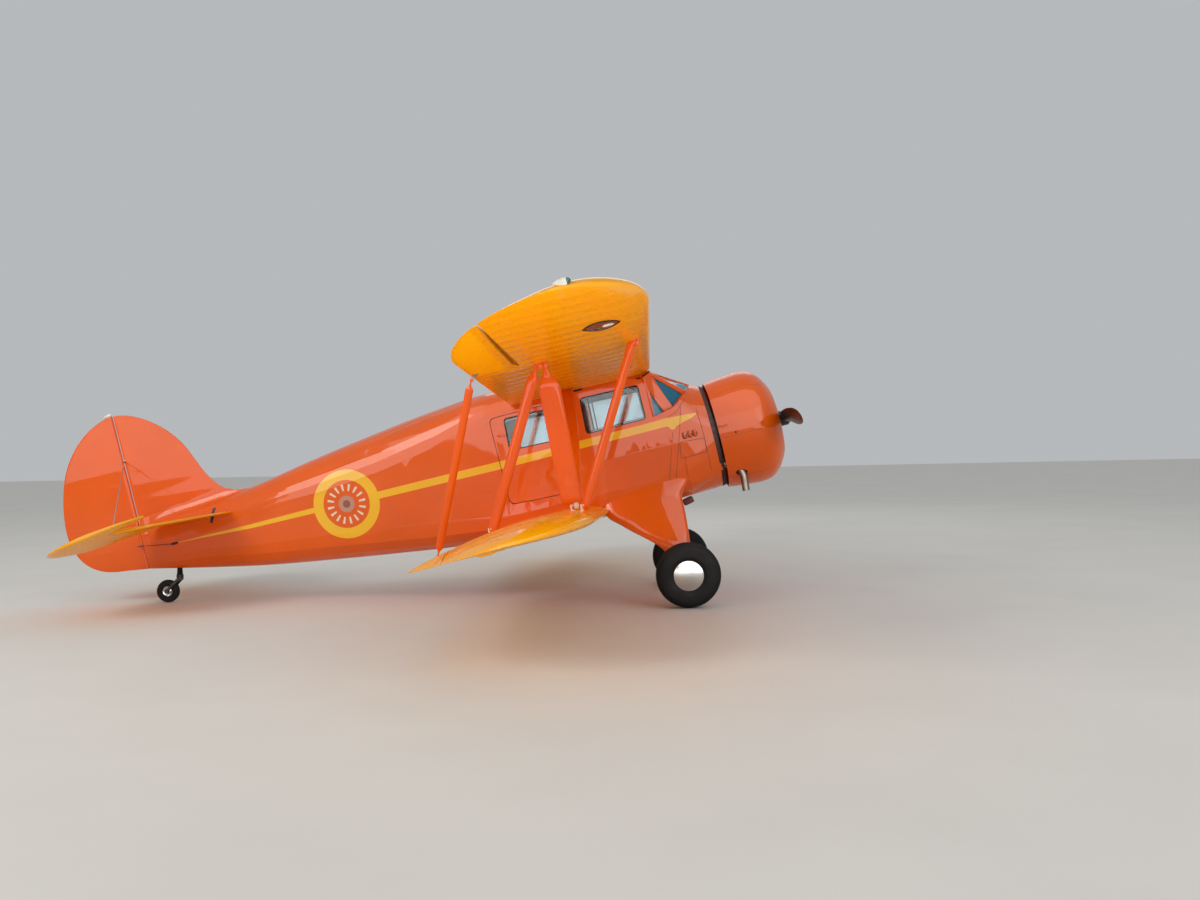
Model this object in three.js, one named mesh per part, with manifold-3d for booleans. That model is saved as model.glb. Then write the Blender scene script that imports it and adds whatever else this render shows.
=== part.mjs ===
// Four-seat cabin biplane on its tail wheel, in millimetres, +X forward, +Y left, +Z up.
// Every piece is drawn in the aircraft's own axes, with the thrust line level and the
// propeller hub at 0,0,0, and one group then leans the aircraft back onto its three wheels.
import * as THREE from 'three';
import { mergeVertices } from 'three/addons/utils/BufferGeometryUtils.js';
import Module from 'manifold-3d';

const wasm = await Module();
wasm.setup();

// Fits and clearances
const SEAT_GAP = 0.3;
const SIDE_CLEARANCE = 6;

// Wings: one Clark Y style section, rounded tips, no sweep
const CHORD = 1440;
const THICKNESS_RATIO = 0.117;
const CAMBER_RATIO = 0.034;
const CAMBER_PLACE = 0.42;
const TIP_MEETS_AT = 0.4;
const TIP_POWER = 1.8;
const WING_PANELS = {
  upper: {
    halfSpan: 5067, rootY: 592, leadX: -1205, leadZ: 830, dihedral: 3.45, incidence: 1.2,
    tipFront: 1066, tipRear: 1456,
    hingeAt: 0.775, aileronFrom: 2850, linkY: 2970, pin: { along: 1, over: -36 },
  },
  lower: {
    halfSpan: 4306, rootY: 520, leadX: -1953, leadZ: -462, dihedral: 2.35, incidence: 2,
    tipFront: 850, tipRear: 960,
    hingeAt: 0.745, aileronFrom: 2450, linkY: 2620, pin: { along: 0.94, over: 48 },
  },
};
const AILERON_SLOT = 30;
const AILERON_NOSE = 23;
const AILERON_TRAVEL = 20;

// Fuselage
const COWL_REAR = -700;
const NOSE_FRONT = -720;
const FIREWALL = -1100;
const CABIN_REAR = -2930;
const STERN_POST = -6862;
const WALL = 32;
const FLOOR_TOP = -420;
const FLOOR_SPLIT = -360;
const ROOF_SPLIT = 740;
const WINDSCREEN_REAR = -1300;
const ROOF_FRONT = -1215;

// Doors: hinged at the front edge, over the lower wing root
const DOOR_AXIS_X = -2200;
const DOOR_TRAVEL = 75;

// Tail
const RUDDER_AXIS_X = -6895;
const TAIL_THICKNESS = 44;
const ELEVATOR_AXIS = { x: -6622, z: 532 };
const TAILPLANE_TILT = 3.9;
const ELEVATOR_DROOP = 13.5;

// Landing gear
const MAIN_WHEEL = { x: -1352, y: 924, z: -1230, radius: 314, width: 218, rim: 127, cap: 150 };
const TAIL_WHEEL = { x: -6743, z: -170, radius: 120, width: 68, rim: 55 };
const TAIL_SWIVEL_X = -6585;

// Propeller and engine
const PROPELLER_RADIUS = 1219;
const CYLINDERS = 7;
const CYLINDER_X = -330;
const COWL_SKIN = 12;

const degrees = (angle) => THREE.MathUtils.degToRad(angle);
const vector = (x, y, z) => new THREE.Vector3(x, y, z);

// The aircraft leans back until the main wheels and the tail wheel touch one level surface
function parkedPitch() {
  const along = MAIN_WHEEL.x - TAIL_WHEEL.x;
  const down = MAIN_WHEEL.z - TAIL_WHEEL.z;
  const rise = MAIN_WHEEL.radius - TAIL_WHEEL.radius;
  return Math.asin(rise / Math.hypot(along, down)) - Math.atan2(down, along);
}
const PITCH = parkedPitch();

// Turns a closed geometry into a solid, with faces pointing out
function solidOf(geometry) {
  const bare = geometry.clone();
  bare.deleteAttribute('normal');
  bare.deleteAttribute('uv');
  const merged = mergeVertices(bare, 1e-3);
  const points = merged.attributes.position.array;
  const corner = (i) => vector(points[3 * i], points[3 * i + 1], points[3 * i + 2]);
  const faces = [];
  let volume = 0;
  for (let i = 0; i < merged.index.count; i += 3) {
    const [a, b, c] = [0, 1, 2].map((k) => merged.index.getX(i + k));
    if (a === b || b === c || c === a) {
      continue;
    }
    faces.push([a, b, c]);
    volume += corner(a).dot(corner(b).cross(corner(c)));
  }
  const order = volume < 0 ? [0, 2, 1] : [0, 1, 2];
  const triVerts = new Uint32Array(faces.flatMap((face) => order.map((k) => face[k])));
  const mesh = new wasm.Mesh({ numProp: 3, vertProperties: new Float32Array(points), triVerts });
  return new wasm.Manifold(mesh);
}

function geometryOf(solid) {
  const mesh = solid.getMesh();
  const geometry = new THREE.BufferGeometry();
  geometry.setAttribute('position', new THREE.BufferAttribute(new Float32Array(mesh.vertProperties), 3));
  geometry.setIndex(new THREE.BufferAttribute(new Uint32Array(mesh.triVerts), 1));
  geometry.computeVertexNormals();
  return geometry;
}

const join = (solids) => solids.reduce((whole, solid) => whole.add(solid));
const mirrored = (solid) => solid.scale([1, -1, 1]);

// A closed skin over rings of equally many points, with a fan over each end
function loft(rings) {
  const count = rings[0].length;
  const corners = rings.flat();
  const faces = [];
  for (let i = 0; i < rings.length - 1; i += 1) {
    for (let j = 0; j < count; j += 1) {
      const next = (j + 1) % count;
      const [a, b] = [i * count + j, i * count + next];
      const across = corners[a].distanceTo(corners[b + count]) - corners[b].distanceTo(corners[a + count]);
      const split = across < 0 ? [a, b, b + count, a, b + count, a + count] : [a, b, a + count, b, b + count, a + count];
      faces.push(...split);
    }
  }
  const cap = (ring, start, flip) => {
    const middle = ring.reduce((sum, point) => sum.add(point), vector(0, 0, 0)).divideScalar(count);
    corners.push(middle);
    for (let j = 0; j < count; j += 1) {
      const pair = [start + j, start + ((j + 1) % count)];
      faces.push(corners.length - 1, ...(flip ? pair : pair.reverse()));
    }
  };
  cap(rings[0], 0, false);
  cap(rings[rings.length - 1], (rings.length - 1) * count, true);
  const geometry = new THREE.BufferGeometry().setFromPoints(corners);
  geometry.setIndex(faces);
  return solidOf(geometry);
}

function block(x0, x1, y0, y1, z0, z1) {
  const box = new THREE.BoxGeometry(Math.abs(x1 - x0), Math.abs(y1 - y0), Math.abs(z1 - z0));
  box.translate((x0 + x1) / 2, (y0 + y1) / 2, (z0 + z1) / 2);
  return solidOf(box);
}

// A turned solid: profile rows are [place along the axis, radius], axis is x, y or z
function turned(profile, axis, segments) {
  const outline = profile.map(([place, radius]) => new THREE.Vector2(radius, place));
  const geometry = new THREE.LatheGeometry(outline, segments);
  if (axis === 'x') {
    geometry.rotateZ(-Math.PI / 2);
  }
  if (axis === 'z') {
    geometry.rotateX(Math.PI / 2);
  }
  return solidOf(geometry);
}

// A round bar between two points
function rod(from, to, radius, sides = 12) {
  const along = to.clone().sub(from);
  const geometry = new THREE.CylinderGeometry(radius, radius, along.length(), sides);
  const turn = new THREE.Quaternion().setFromUnitVectors(vector(0, 1, 0), along.clone().normalize());
  geometry.applyQuaternion(turn);
  const middle = from.clone().add(to).multiplyScalar(0.5);
  geometry.translate(middle.x, middle.y, middle.z);
  return solidOf(geometry);
}

// A flat outline in side view (x, z) drawn out across the aircraft from y0 to y1
function sidePrism(shape, y0, y1, bevel = 0) {
  const options = { depth: y1 - y0 - 2 * bevel, curveSegments: 4, bevelEnabled: bevel > 0 };
  if (bevel > 0) {
    Object.assign(options, { bevelThickness: bevel, bevelSize: bevel, bevelOffset: -bevel, bevelSegments: 2 });
  }
  const geometry = new THREE.ExtrudeGeometry(shape, options);
  geometry.rotateX(Math.PI / 2);
  geometry.translate(0, y1 - bevel, 0);
  return solidOf(geometry);
}

function polygon(points) {
  return new THREE.Shape(points.map(([a, b]) => new THREE.Vector2(a, b)));
}

// A polygon whose corners are rounded by a curve that starts "round" before each corner
function roundedPolygon(points, round) {
  const corners = points.map(([a, b]) => new THREE.Vector2(a, b));
  const shape = new THREE.Shape();
  corners.forEach((corner, i) => {
    const before = corners[(i + corners.length - 1) % corners.length];
    const after = corners[(i + 1) % corners.length];
    const enter = corner.clone().add(before.clone().sub(corner).setLength(round));
    const leave = corner.clone().add(after.clone().sub(corner).setLength(round));
    if (i === 0) {
      shape.moveTo(enter.x, enter.y);
    } else {
      shape.lineTo(enter.x, enter.y);
    }
    shape.quadraticCurveTo(corner.x, corner.y, leave.x, leave.y);
  });
  shape.closePath();
  return shape;
}

// Materials
const paint = (color, roughness = 0.35, metalness = 0) => (
  new THREE.MeshStandardMaterial({ color, roughness, metalness })
);
const ORANGE = paint(0xd9481c);
const YELLOW = paint(0xf2a814);
const METAL = paint(0xb9bcc0, 0.3, 1);
const STEEL = paint(0x8b8680, 0.4, 1);
const ENGINE_GREY = paint(0x55585c, 0.5, 0.6);
const BLACK = paint(0x16171a, 0.4);
const RUBBER = paint(0x1c1c1d, 0.85);
const LEATHER = paint(0x6b4326, 0.7);
const GLASS = paint(0x9fc4cf, 0.05);

const aircraft = new THREE.Group();
const solids = {};

function add(name, solid, material) {
  solids[name] = solid;
  const mesh = new THREE.Mesh(geometryOf(solid), material);
  mesh.name = name;
  aircraft.add(mesh);
}

// The same piece on both sides: it is drawn on the left and mirrored for the right
function addPair(name, solid, material) {
  add(`${name}_left`, solid, material);
  add(`${name}_right`, mirrored(solid), material);
}

// Wing section: height of the upper and lower skin over the chord line, as parts of the chord
function sectionHeights(place) {
  const spread = 0.2969 * Math.sqrt(place) - 0.126 * place - 0.3516 * place ** 2
    + 0.2843 * place ** 3 - 0.1015 * place ** 4;
  const half = 5 * THICKNESS_RATIO * spread;
  const fore = place < CAMBER_PLACE;
  const reach = fore ? CAMBER_PLACE : 1 - CAMBER_PLACE;
  const start = fore ? 0 : 1 - 2 * CAMBER_PLACE;
  const mean = (CAMBER_RATIO / reach ** 2) * (start + 2 * CAMBER_PLACE * place - place ** 2);
  return { upper: mean + half, lower: mean - half, mean, half };
}

// The tip's leading and trailing edges curve in to one point, as parts of the chord
function tipEdges(panel, span) {
  const front = Math.max(0, (span - panel.halfSpan + panel.tipFront) / panel.tipFront);
  const rear = Math.max(0, (span - panel.halfSpan + panel.tipRear) / panel.tipRear);
  const lead = (TIP_MEETS_AT - 0.01) * (1 - Math.sqrt(1 - front ** 2));
  const trail = 1 - (1 - TIP_MEETS_AT - 0.02) * (1 - (1 - rear ** TIP_POWER) ** (1 / TIP_POWER));
  return { lead, trail };
}

// A point of a wing: span from the centre line, place along the chord and height over it in mm
function wingPoint(panel, span, along, over) {
  const pitch = degrees(panel.incidence);
  const x = panel.leadX - along * Math.cos(pitch) - over * Math.sin(pitch);
  const z = panel.leadZ - along * Math.sin(pitch) + over * Math.cos(pitch);
  return vector(x, span, z + (span - panel.rootY) * Math.tan(degrees(panel.dihedral)));
}

const SECTION_STEPS = 8;
function wingRing(panel, span) {
  const { lead, trail } = tipEdges(panel, span);
  const chord = (trail - lead) * CHORD;
  const ring = [];
  for (let i = 0; i <= 2 * SECTION_STEPS; i += 1) {
    const turn = (Math.PI * i) / SECTION_STEPS;
    const place = 0.5 * (1 + Math.cos(turn));
    const { upper, lower } = sectionHeights(place);
    const over = i <= SECTION_STEPS ? upper : lower;
    ring.push(wingPoint(panel, span, lead * CHORD + place * chord, over * chord));
  }
  return ring;
}

const TIP_STEPS = [0, 0.3, 0.5, 0.65, 0.78, 0.88, 0.95, 0.985, 0.998];
function wholeWing(panel) {
  const spans = [panel.rootY, ...TIP_STEPS.map((step) => panel.halfSpan - panel.tipRear * (1 - step))];
  return loft(spans.map((span) => wingRing(panel, span)));
}

// Hinge fittings along an axis: tongues on the fixed piece, notches in the moving one.
// "ahead" points from the axis to the fixed piece, "across" goes through the surface.
function hingeFittings({ origin, axis, ahead, stations, reach, radius, deep }) {
  const across = axis.clone().cross(ahead).normalize();
  const frame = new THREE.Matrix4().makeBasis(ahead, axis, across);
  const thick = 12;
  const placed = (geometry, station) => {
    const middle = origin.clone().add(axis.clone().multiplyScalar(station));
    geometry.applyMatrix4(frame.clone().setPosition(middle));
    return solidOf(geometry);
  };
  const tongues = [];
  const notches = [];
  stations.forEach((station) => {
    const arm = new THREE.BoxGeometry(reach, thick, radius * 1.4).translate(reach / 2, 0, 0);
    tongues.push(placed(new THREE.CylinderGeometry(radius, radius, thick, 12), station).add(placed(arm, station)));
    const room = new THREE.BoxGeometry(reach + radius + SIDE_CLEARANCE, thick + SEAT_GAP + SIDE_CLEARANCE, deep);
    room.translate((reach - radius - SIDE_CLEARANCE) / 2, (SEAT_GAP - SIDE_CLEARANCE) / 2, 0);
    notches.push(placed(room, station));
  });
  return { tongues: join(tongues), notches: join(notches) };
}

// One wing panel and its aileron, drawn for the left side
function buildWing(panel) {
  const whole = wholeWing(panel);
  const hinge = panel.hingeAt * CHORD;
  const hingeHeight = sectionHeights(panel.hingeAt).mean * CHORD;
  const pitch = degrees(panel.incidence);
  const ahead = vector(Math.cos(pitch), 0, Math.sin(pitch));
  const axisStart = wingPoint(panel, panel.aileronFrom, hinge, hingeHeight);
  const axis = wingPoint(panel, panel.aileronFrom + 100, hinge, hingeHeight).sub(axisStart).normalize();
  const outboard = panel.halfSpan + 200;
  const behind = (slot, from) => {
    const cut = [from, outboard].map((span) => [
      wingPoint(panel, span, hinge - slot, -300), wingPoint(panel, span, hinge - slot, 400),
      wingPoint(panel, span, hinge + 600, 400), wingPoint(panel, span, hinge + 600, -300),
    ]);
    return loft(cut);
  };
  const noseEnd = axisStart.clone().add(axis.clone().multiplyScalar(1050 - (panel === WING_PANELS.lower ? 100 : 0)));
  const nose = rod(axisStart, noseEnd, AILERON_NOSE);
  const length = panel.halfSpan - panel.aileronFrom - 700;
  const fittings = hingeFittings({
    origin: axisStart, axis, ahead, stations: [60, length / 2, length - 100],
    reach: AILERON_SLOT + 6, radius: 14, deep: 200,
  });
  const wing = whole.subtract(behind(AILERON_SLOT, panel.aileronFrom - SIDE_CLEARANCE)).add(fittings.tongues);
  const aileron = whole.intersect(behind(0, panel.aileronFrom)).add(nose).subtract(fittings.notches);
  return { whole, wing, aileron, axisStart, axis };
}
const upper = buildWing(WING_PANELS.upper);
const lower = buildWing(WING_PANELS.lower);

// Fuselage sections from nose to stern. Each side is upright between "low" and "high", and
// the bottom and the top close in with the given powers (2 is an ellipse, more is squarer).
const SECTION_COLUMNS = ['x', 'bottom', 'low', 'high', 'top', 'half', 'bottomPower', 'topPower'];
const FUSELAGE_SECTIONS = [
  [NOSE_FRONT, -525, -2, 2, 525, 525, 2, 2],
  [-835, -535, -60, 60, 582, 538, 2.1, 2.1],
  [-1215, -548, -250, 480, 880, 572, 2.6, 2.6],
  [-1500, -550, -280, 700, 950, 580, 2.7, 2.7],
  [-1800, -548, -280, 745, 985, 580, 2.7, 2.6],
  [-2300, -535, -280, 745, 1015, 580, 2.7, 2.4],
  [CABIN_REAR, -505, -270, 745, 1015, 562, 2.6, 2.3],
  [-3500, -478, -190, 600, 980, 518, 2.5, 2.1],
  [-4200, -390, -90, 490, 898, 440, 2.4, 2],
  [-4900, -285, 0, 440, 798, 352, 2.3, 2],
  [-5600, -170, 80, 420, 682, 254, 2.2, 2],
  [-6200, -45, 170, 430, 625, 164, 2.2, 2],
  [STERN_POST, 105, 240, 470, 598, 46, 2.2, 2],
].map((row) => Object.fromEntries(row.map((value, i) => [SECTION_COLUMNS[i], value])));

const BOTTOM_STEPS = 4;
const TOP_STEPS = 7;
function fuselageRing(section, inset) {
  const half = section.half - inset;
  const side = [];
  for (let i = 0; i <= BOTTOM_STEPS; i += 1) {
    const turn = (Math.PI * i) / (2 * BOTTOM_STEPS);
    const power = 2 / section.bottomPower;
    const depth = section.low - section.bottom - inset;
    side.push([half * Math.sin(turn) ** power, section.low - depth * Math.cos(turn) ** power]);
  }
  for (let i = 0; i <= TOP_STEPS; i += 1) {
    const turn = (Math.PI * i) / (2 * TOP_STEPS);
    const power = 2 / section.topPower;
    const rise = section.top - section.high - inset;
    side.push([half * Math.cos(turn) ** power, section.high + rise * Math.sin(turn) ** power]);
  }
  const back = side.slice(1, -1).reverse().map(([y, z]) => [-y, z]);
  return [...side, ...back].map(([y, z]) => vector(section.x, y, z));
}

function fuselage(inset = 0) {
  return loft(FUSELAGE_SECTIONS.map((section) => fuselageRing(section, inset)));
}
const hull = fuselage();
const hullRoom = fuselage(-SEAT_GAP);
const FULL = 900;

// Windscreen: straight panes between the edge on the nose deck and the roof's front edge.
// Rows run from the centre line outwards: base point, top point.
const WINDSCREEN_EDGES = [
  { base: vector(-835, 0, 583), top: vector(ROOF_FRONT, 0, 822) },
  { base: vector(-905, 300, 512), top: vector(ROOF_FRONT, 300, 815) },
  { base: vector(-1085, 500, 379), top: vector(ROOF_FRONT, 520, 800) },
  { base: vector(-1290, 572, 335), top: vector(WINDSCREEN_REAR, 578, 760) },
];
const WINDSCREEN_HEART = vector(-1420, 0, 420);
const flipSide = (point) => vector(point.x, -point.y, point.z);
const toHeart = (point, share) => point.clone().lerp(WINDSCREEN_HEART, share);

// A sheet that follows the windscreen between two depths, each a share of the way to its heart,
// and ends short of the base, the top and both ends by a share of each pane
function windscreenSheet(outer, inner, margin) {
  const last = WINDSCREEN_EDGES.length - 1;
  const half = WINDSCREEN_EDGES.map(({ base, top }, i) => {
    const share = i === last ? 4 * margin : 0;
    const inwards = WINDSCREEN_EDGES[Math.max(0, i - 1)];
    const [low, high] = [base.clone().lerp(inwards.base, share), top.clone().lerp(inwards.top, share)];
    return [low.clone().lerp(high, margin), high.clone().lerp(low, margin)];
  });
  const edges = [...half.slice(1).reverse().map((pair) => pair.map(flipSide)), ...half];
  return loft(edges.map(([low, high]) => (
    [toHeart(low, outer), toHeart(high, outer), toHeart(high, inner), toHeart(low, inner)])));
}

// A hole through one pane, drawn in from its corners towards the pane's middle
function paneHole(corners, inset) {
  const middle = corners.reduce((sum, point) => sum.add(point), vector(0, 0, 0)).divideScalar(corners.length);
  const drawn = corners.map((point) => {
    const towards = middle.clone().sub(point);
    return point.clone().add(towards.clone().setLength(Math.min(inset, towards.length() * 0.45)));
  });
  return loft([-0.2, 0.25].map((share) => drawn.map((point) => toHeart(point, share))));
}

const SCREEN_SKIN = 0.03;
const panes = [];
for (let i = 0; i < WINDSCREEN_EDGES.length - 1; i += 1) {
  const [near, far] = [WINDSCREEN_EDGES[i], WINDSCREEN_EDGES[i + 1]];
  const hole = paneHole([near.base, far.base, far.top, near.top], i === 2 ? 62 : 48);
  panes.push(hole, mirrored(hole));
}
add('windscreen_frame', panes.reduce((frame, hole) => frame.subtract(hole), windscreenSheet(0, SCREEN_SKIN, 0)), ORANGE);
const screenGlass = windscreenSheet(SCREEN_SKIN + 0.001, SCREEN_SKIN + 0.014, 0);
add('windscreen_glass', screenGlass.intersect(windscreenSheet(-0.2, 0.3, 0.04)), GLASS);

// The nose deck and the cabin sides end under the windscreen's base line
const BASE_LINE = WINDSCREEN_EDGES.map(({ base }) => [base.x, base.z - 2 * SEAT_GAP]);
const nosePart = sidePrism(polygon([
  [-600, -FULL], [-600, FULL], [BASE_LINE[0][0] + SEAT_GAP, FULL], [BASE_LINE[0][0] + SEAT_GAP, BASE_LINE[0][1]],
  BASE_LINE[1], BASE_LINE[2], [FIREWALL, BASE_LINE[2][1] - 3], [FIREWALL, -FULL],
]), -FULL, FULL);
add('nose_section', hull.intersect(nosePart), ORANGE);

const rearPart = block(CABIN_REAR, STERN_POST - 100, -FULL, FULL, -FULL, 1300);
add('rear_fuselage', hull.intersect(rearPart), ORANGE);

// Cabin shell, split at the floor and the roof line
const cabinRoom = fuselage(WALL).intersect(block(-600, -3200, -FULL, FULL, FLOOR_TOP, 1300));
const [cabinFront, cabinBack] = [FIREWALL - SEAT_GAP, CABIN_REAR + SEAT_GAP];
const shell = hull.subtract(cabinRoom);
add('cabin_floor', shell.intersect(block(cabinFront, cabinBack, -FULL, FULL, -FULL, FLOOR_SPLIT - SEAT_GAP)), ORANGE);

const sidePart = sidePrism(polygon([
  [cabinFront, FLOOR_SPLIT], [cabinFront, BASE_LINE[2][1] - 4], BASE_LINE[3],
  [WINDSCREEN_REAR - SEAT_GAP, BASE_LINE[3][1]], [WINDSCREEN_REAR - SEAT_GAP, ROOF_SPLIT - SEAT_GAP],
  [cabinBack, ROOF_SPLIT - SEAT_GAP], [cabinBack, FLOOR_SPLIT],
]), 50, FULL);
const screenRoom = windscreenSheet(-0.02, SCREEN_SKIN + 0.004, -0.001);
const sideWall = shell.intersect(sidePart).subtract(screenRoom);

// Openings in the left side, as corners in side view
const FRONT_WINDOW = [[-1372, 336], [-1372, 682], [-1963, 694], [-1981, 336]];
const DOOR_WINDOW = [[-2292, 350], [-2292, 672], [-2752, 686], [-2768, 366]];
const DOOR = [[-2204, -190], [-2204, 716], [-2895, 716], [-2895, -160]];
const DOOR_HOLE = [[-2196, -196], [-2196, 722], [-2901, 722], [-2901, -166]];
const windowShape = (corners) => roundedPolygon(corners, 38);
const doorShape = (corners) => roundedPolygon(corners, 60);

// The door and its frame are both cut back inwards at the hinge edge, so that the door swings
const doorAxisY = 580;
const doorAxis = { origin: vector(DOOR_AXIS_X, doorAxisY, 0), axis: vector(0, 0, 1) };
const slant = (outerX, innerX) => loft([-400, 900].map((z) => [
  vector(outerX, doorAxisY + 20, z), vector(DOOR_AXIS_X, doorAxisY + 20, z),
  vector(DOOR_AXIS_X, doorAxisY - 60, z), vector(innerX, doorAxisY - 60, z),
]));
const doorRelief = slant(-2204 + 18, -2204 - 54);
const frameRelief = slant(-2196 - 14, -2196 + 42);
const knuckle = (from, to, radius) => rod(vector(DOOR_AXIS_X, doorAxisY, from), vector(DOOR_AXIS_X, doorAxisY, to), radius, 8);
const KNUCKLES = [-100, 290, 620];
const KNUCKLE_LENGTH = 45;
const frameKnuckles = join(KNUCKLES.map((z) => knuckle(z, z + KNUCKLE_LENGTH, 7)));
const doorKnuckles = join(KNUCKLES.map((z) => knuckle(z + KNUCKLE_LENGTH + SEAT_GAP, z + 2 * KNUCKLE_LENGTH, 7)));
const frameKnuckleRoom = join(KNUCKLES.map((z) => knuckle(z - 3, z + KNUCKLE_LENGTH + SEAT_GAP, 11)));
const doorKnuckleRoom = join(KNUCKLES.map((z) => knuckle(z + KNUCKLE_LENGTH, z + 2 * KNUCKLE_LENGTH + 3, 11)));

const doorHole = sidePrism(doorShape(DOOR_HOLE), 50, FULL);
const framedSide = sideWall
  .subtract(doorHole)
  .subtract(frameRelief.intersect(sidePrism(polygon([[-2100, -190], [-2100, 716], [-2300, 716], [-2300, -190]]), 50, FULL)))
  .subtract(sidePrism(windowShape(FRONT_WINDOW), 50, FULL))
  .subtract(doorKnuckleRoom)
  .add(frameKnuckles);
addPair('cabin_side', framedSide, ORANGE);

const door = sideWall
  .intersect(sidePrism(doorShape(DOOR), 50, FULL))
  .subtract(doorRelief)
  .subtract(sidePrism(windowShape(DOOR_WINDOW), 50, FULL))
  .subtract(frameKnuckleRoom)
  .add(doorKnuckles);
addPair('door', door, ORANGE);

// Side glass lies in the middle of the wall, a seat gap inside its opening
const glassLayer = fuselage(12).subtract(fuselage(18));
function sideGlass(corners) {
  const pane = sidePrism(windowShape(corners), 50, FULL);
  const [xs, zs] = [corners.map(([x]) => x), corners.map(([, z]) => z)];
  const middle = [(Math.min(...xs) + Math.max(...xs)) / 2, (Math.min(...zs) + Math.max(...zs)) / 2];
  const share = 1 - SEAT_GAP / 160;
  const shrunk = pane.translate([-middle[0], 0, -middle[1]]).scale([share, 1, share]);
  return glassLayer.intersect(shrunk.translate([middle[0], 0, middle[1]]));
}
addPair('window_front', sideGlass(FRONT_WINDOW), GLASS);
addPair('window_door', sideGlass(DOOR_WINDOW), GLASS);

// Roof: the shell over the roof line, joined with the wing section that runs across it
const centrePanel = { ...WING_PANELS.upper, dihedral: 0, rootY: 0 };
const centreSection = loft([-1, 1].map((side) => (
  wingRing(centrePanel, side * (WING_PANELS.upper.rootY - SEAT_GAP)))));
const roofPart = sidePrism(polygon([
  [ROOF_FRONT - SEAT_GAP, 1300], [ROOF_FRONT - SEAT_GAP, 824], [ROOF_FRONT - 1, 799], [WINDSCREEN_REAR - 1, 759],
  [WINDSCREEN_REAR - 1, ROOF_SPLIT], [cabinBack, ROOF_SPLIT], [cabinBack, 1300],
]), -FULL, FULL);
const roof = hull.add(centreSection).intersect(roofPart).subtract(cabinRoom);
add('cabin_roof', roof.subtract(screenRoom), ORANGE);

// Wings: the lower roots are cut to the fuselage side
addPair('upper_wing', upper.wing, YELLOW);
const TIE_DOWN = vector(-2500, 2640, -446);
const tieDownPad = rod(vector(TIE_DOWN.x, TIE_DOWN.y, -400), TIE_DOWN, 26);
addPair('lower_wing', lower.wing.subtract(hullRoom).add(tieDownPad.subtract(hullRoom)), YELLOW);

// Struts have a streamlined section and pinched ends. Both ends are cut to the wings' skins.
const STRUT_TAPER = [[0, 0.42], [0.035, 0.42], [0.11, 1], [0.89, 1], [0.965, 0.42], [1, 0.42]];
function strut(from, to, chord, thick) {
  const along = to.clone().sub(from);
  const across = vector(1, 0, 0).sub(along.clone().multiplyScalar(along.x / along.lengthSq())).normalize();
  const side = along.clone().normalize().cross(across);
  const corners = 10;
  return loft(STRUT_TAPER.map(([share, size]) => {
    const middle = from.clone().add(along.clone().multiplyScalar(share));
    return Array.from({ length: corners }, (_, i) => {
      const turn = (2 * Math.PI * i) / corners;
      const wide = (chord * size * Math.cos(turn)) / 2;
      const deep = (thick * Math.max(size, 0.6) * Math.sin(turn)) / 2;
      return middle.clone().add(across.clone().multiplyScalar(wide)).add(side.clone().multiplyScalar(deep));
    });
  }));
}
const upperRoom = upper.whole.add(upper.whole.translate([0, 0, -SEAT_GAP]));
const lowerRoom = lower.whole.add(lower.whole.translate([0, 0, SEAT_GAP]));
const betweenWings = (piece) => piece.subtract(upperRoom).subtract(lowerRoom);
const rise = (panel, y) => panel.leadZ + (y - panel.rootY) * Math.tan(degrees(panel.dihedral));
const onUpper = (x, y) => vector(x, y, rise(WING_PANELS.upper, y) + 20);
const onLower = (x, y) => vector(x, y, rise(WING_PANELS.lower, y) + 40);
const STRUTS = [
  // name, lower end x and y, upper end x and y, chord, thickness
  ['strut_front', -2082, 2645, -1308, 2765, 72, 40],
  ['strut_diagonal', -2150, 2645, -2092, 2765, 172, 46],
  ['strut_rear', -2850, 2645, -2170, 2765, 86, 40],
  ['wing_brace', -2105, 2540, -2055, 680, 130, 44],
];
STRUTS.forEach(([name, lowX, lowY, highX, highY, chord, thick]) => {
  addPair(name, betweenWings(strut(onLower(lowX, lowY), onUpper(highX, highY), chord, thick)), ORANGE);
});

// Ailerons, each with a lug for the link between the upper and the lower one
const PLATE = 9;
const linkPin = (panel) => wingPoint(panel, panel.linkY, panel.pin.along * CHORD, panel.pin.over);
const upperPin = linkPin(WING_PANELS.upper);
const lowerPin = linkPin(WING_PANELS.lower);
function lug(pin, foot) {
  const plate = polygon([[pin.x - 14, pin.z], [pin.x + 14, pin.z], [foot.x + 22, foot.z], [foot.x - 22, foot.z]]);
  return rod(pin.clone().add(vector(0, -PLATE, 0)), pin, 14).add(sidePrism(plate, pin.y - PLATE, pin.y));
}
const lugFoot = (panel, along) => wingPoint(panel, panel.linkY - PLATE / 2, along * CHORD, 6);
const upperLug = lug(upperPin, lugFoot(WING_PANELS.upper, 0.96));
const lowerLug = lug(lowerPin, lugFoot(WING_PANELS.lower, 0.94));
addPair('aileron_upper', upper.aileron.add(upperLug), YELLOW);
addPair('aileron_lower', lower.aileron.add(lowerLug), YELLOW);

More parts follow.
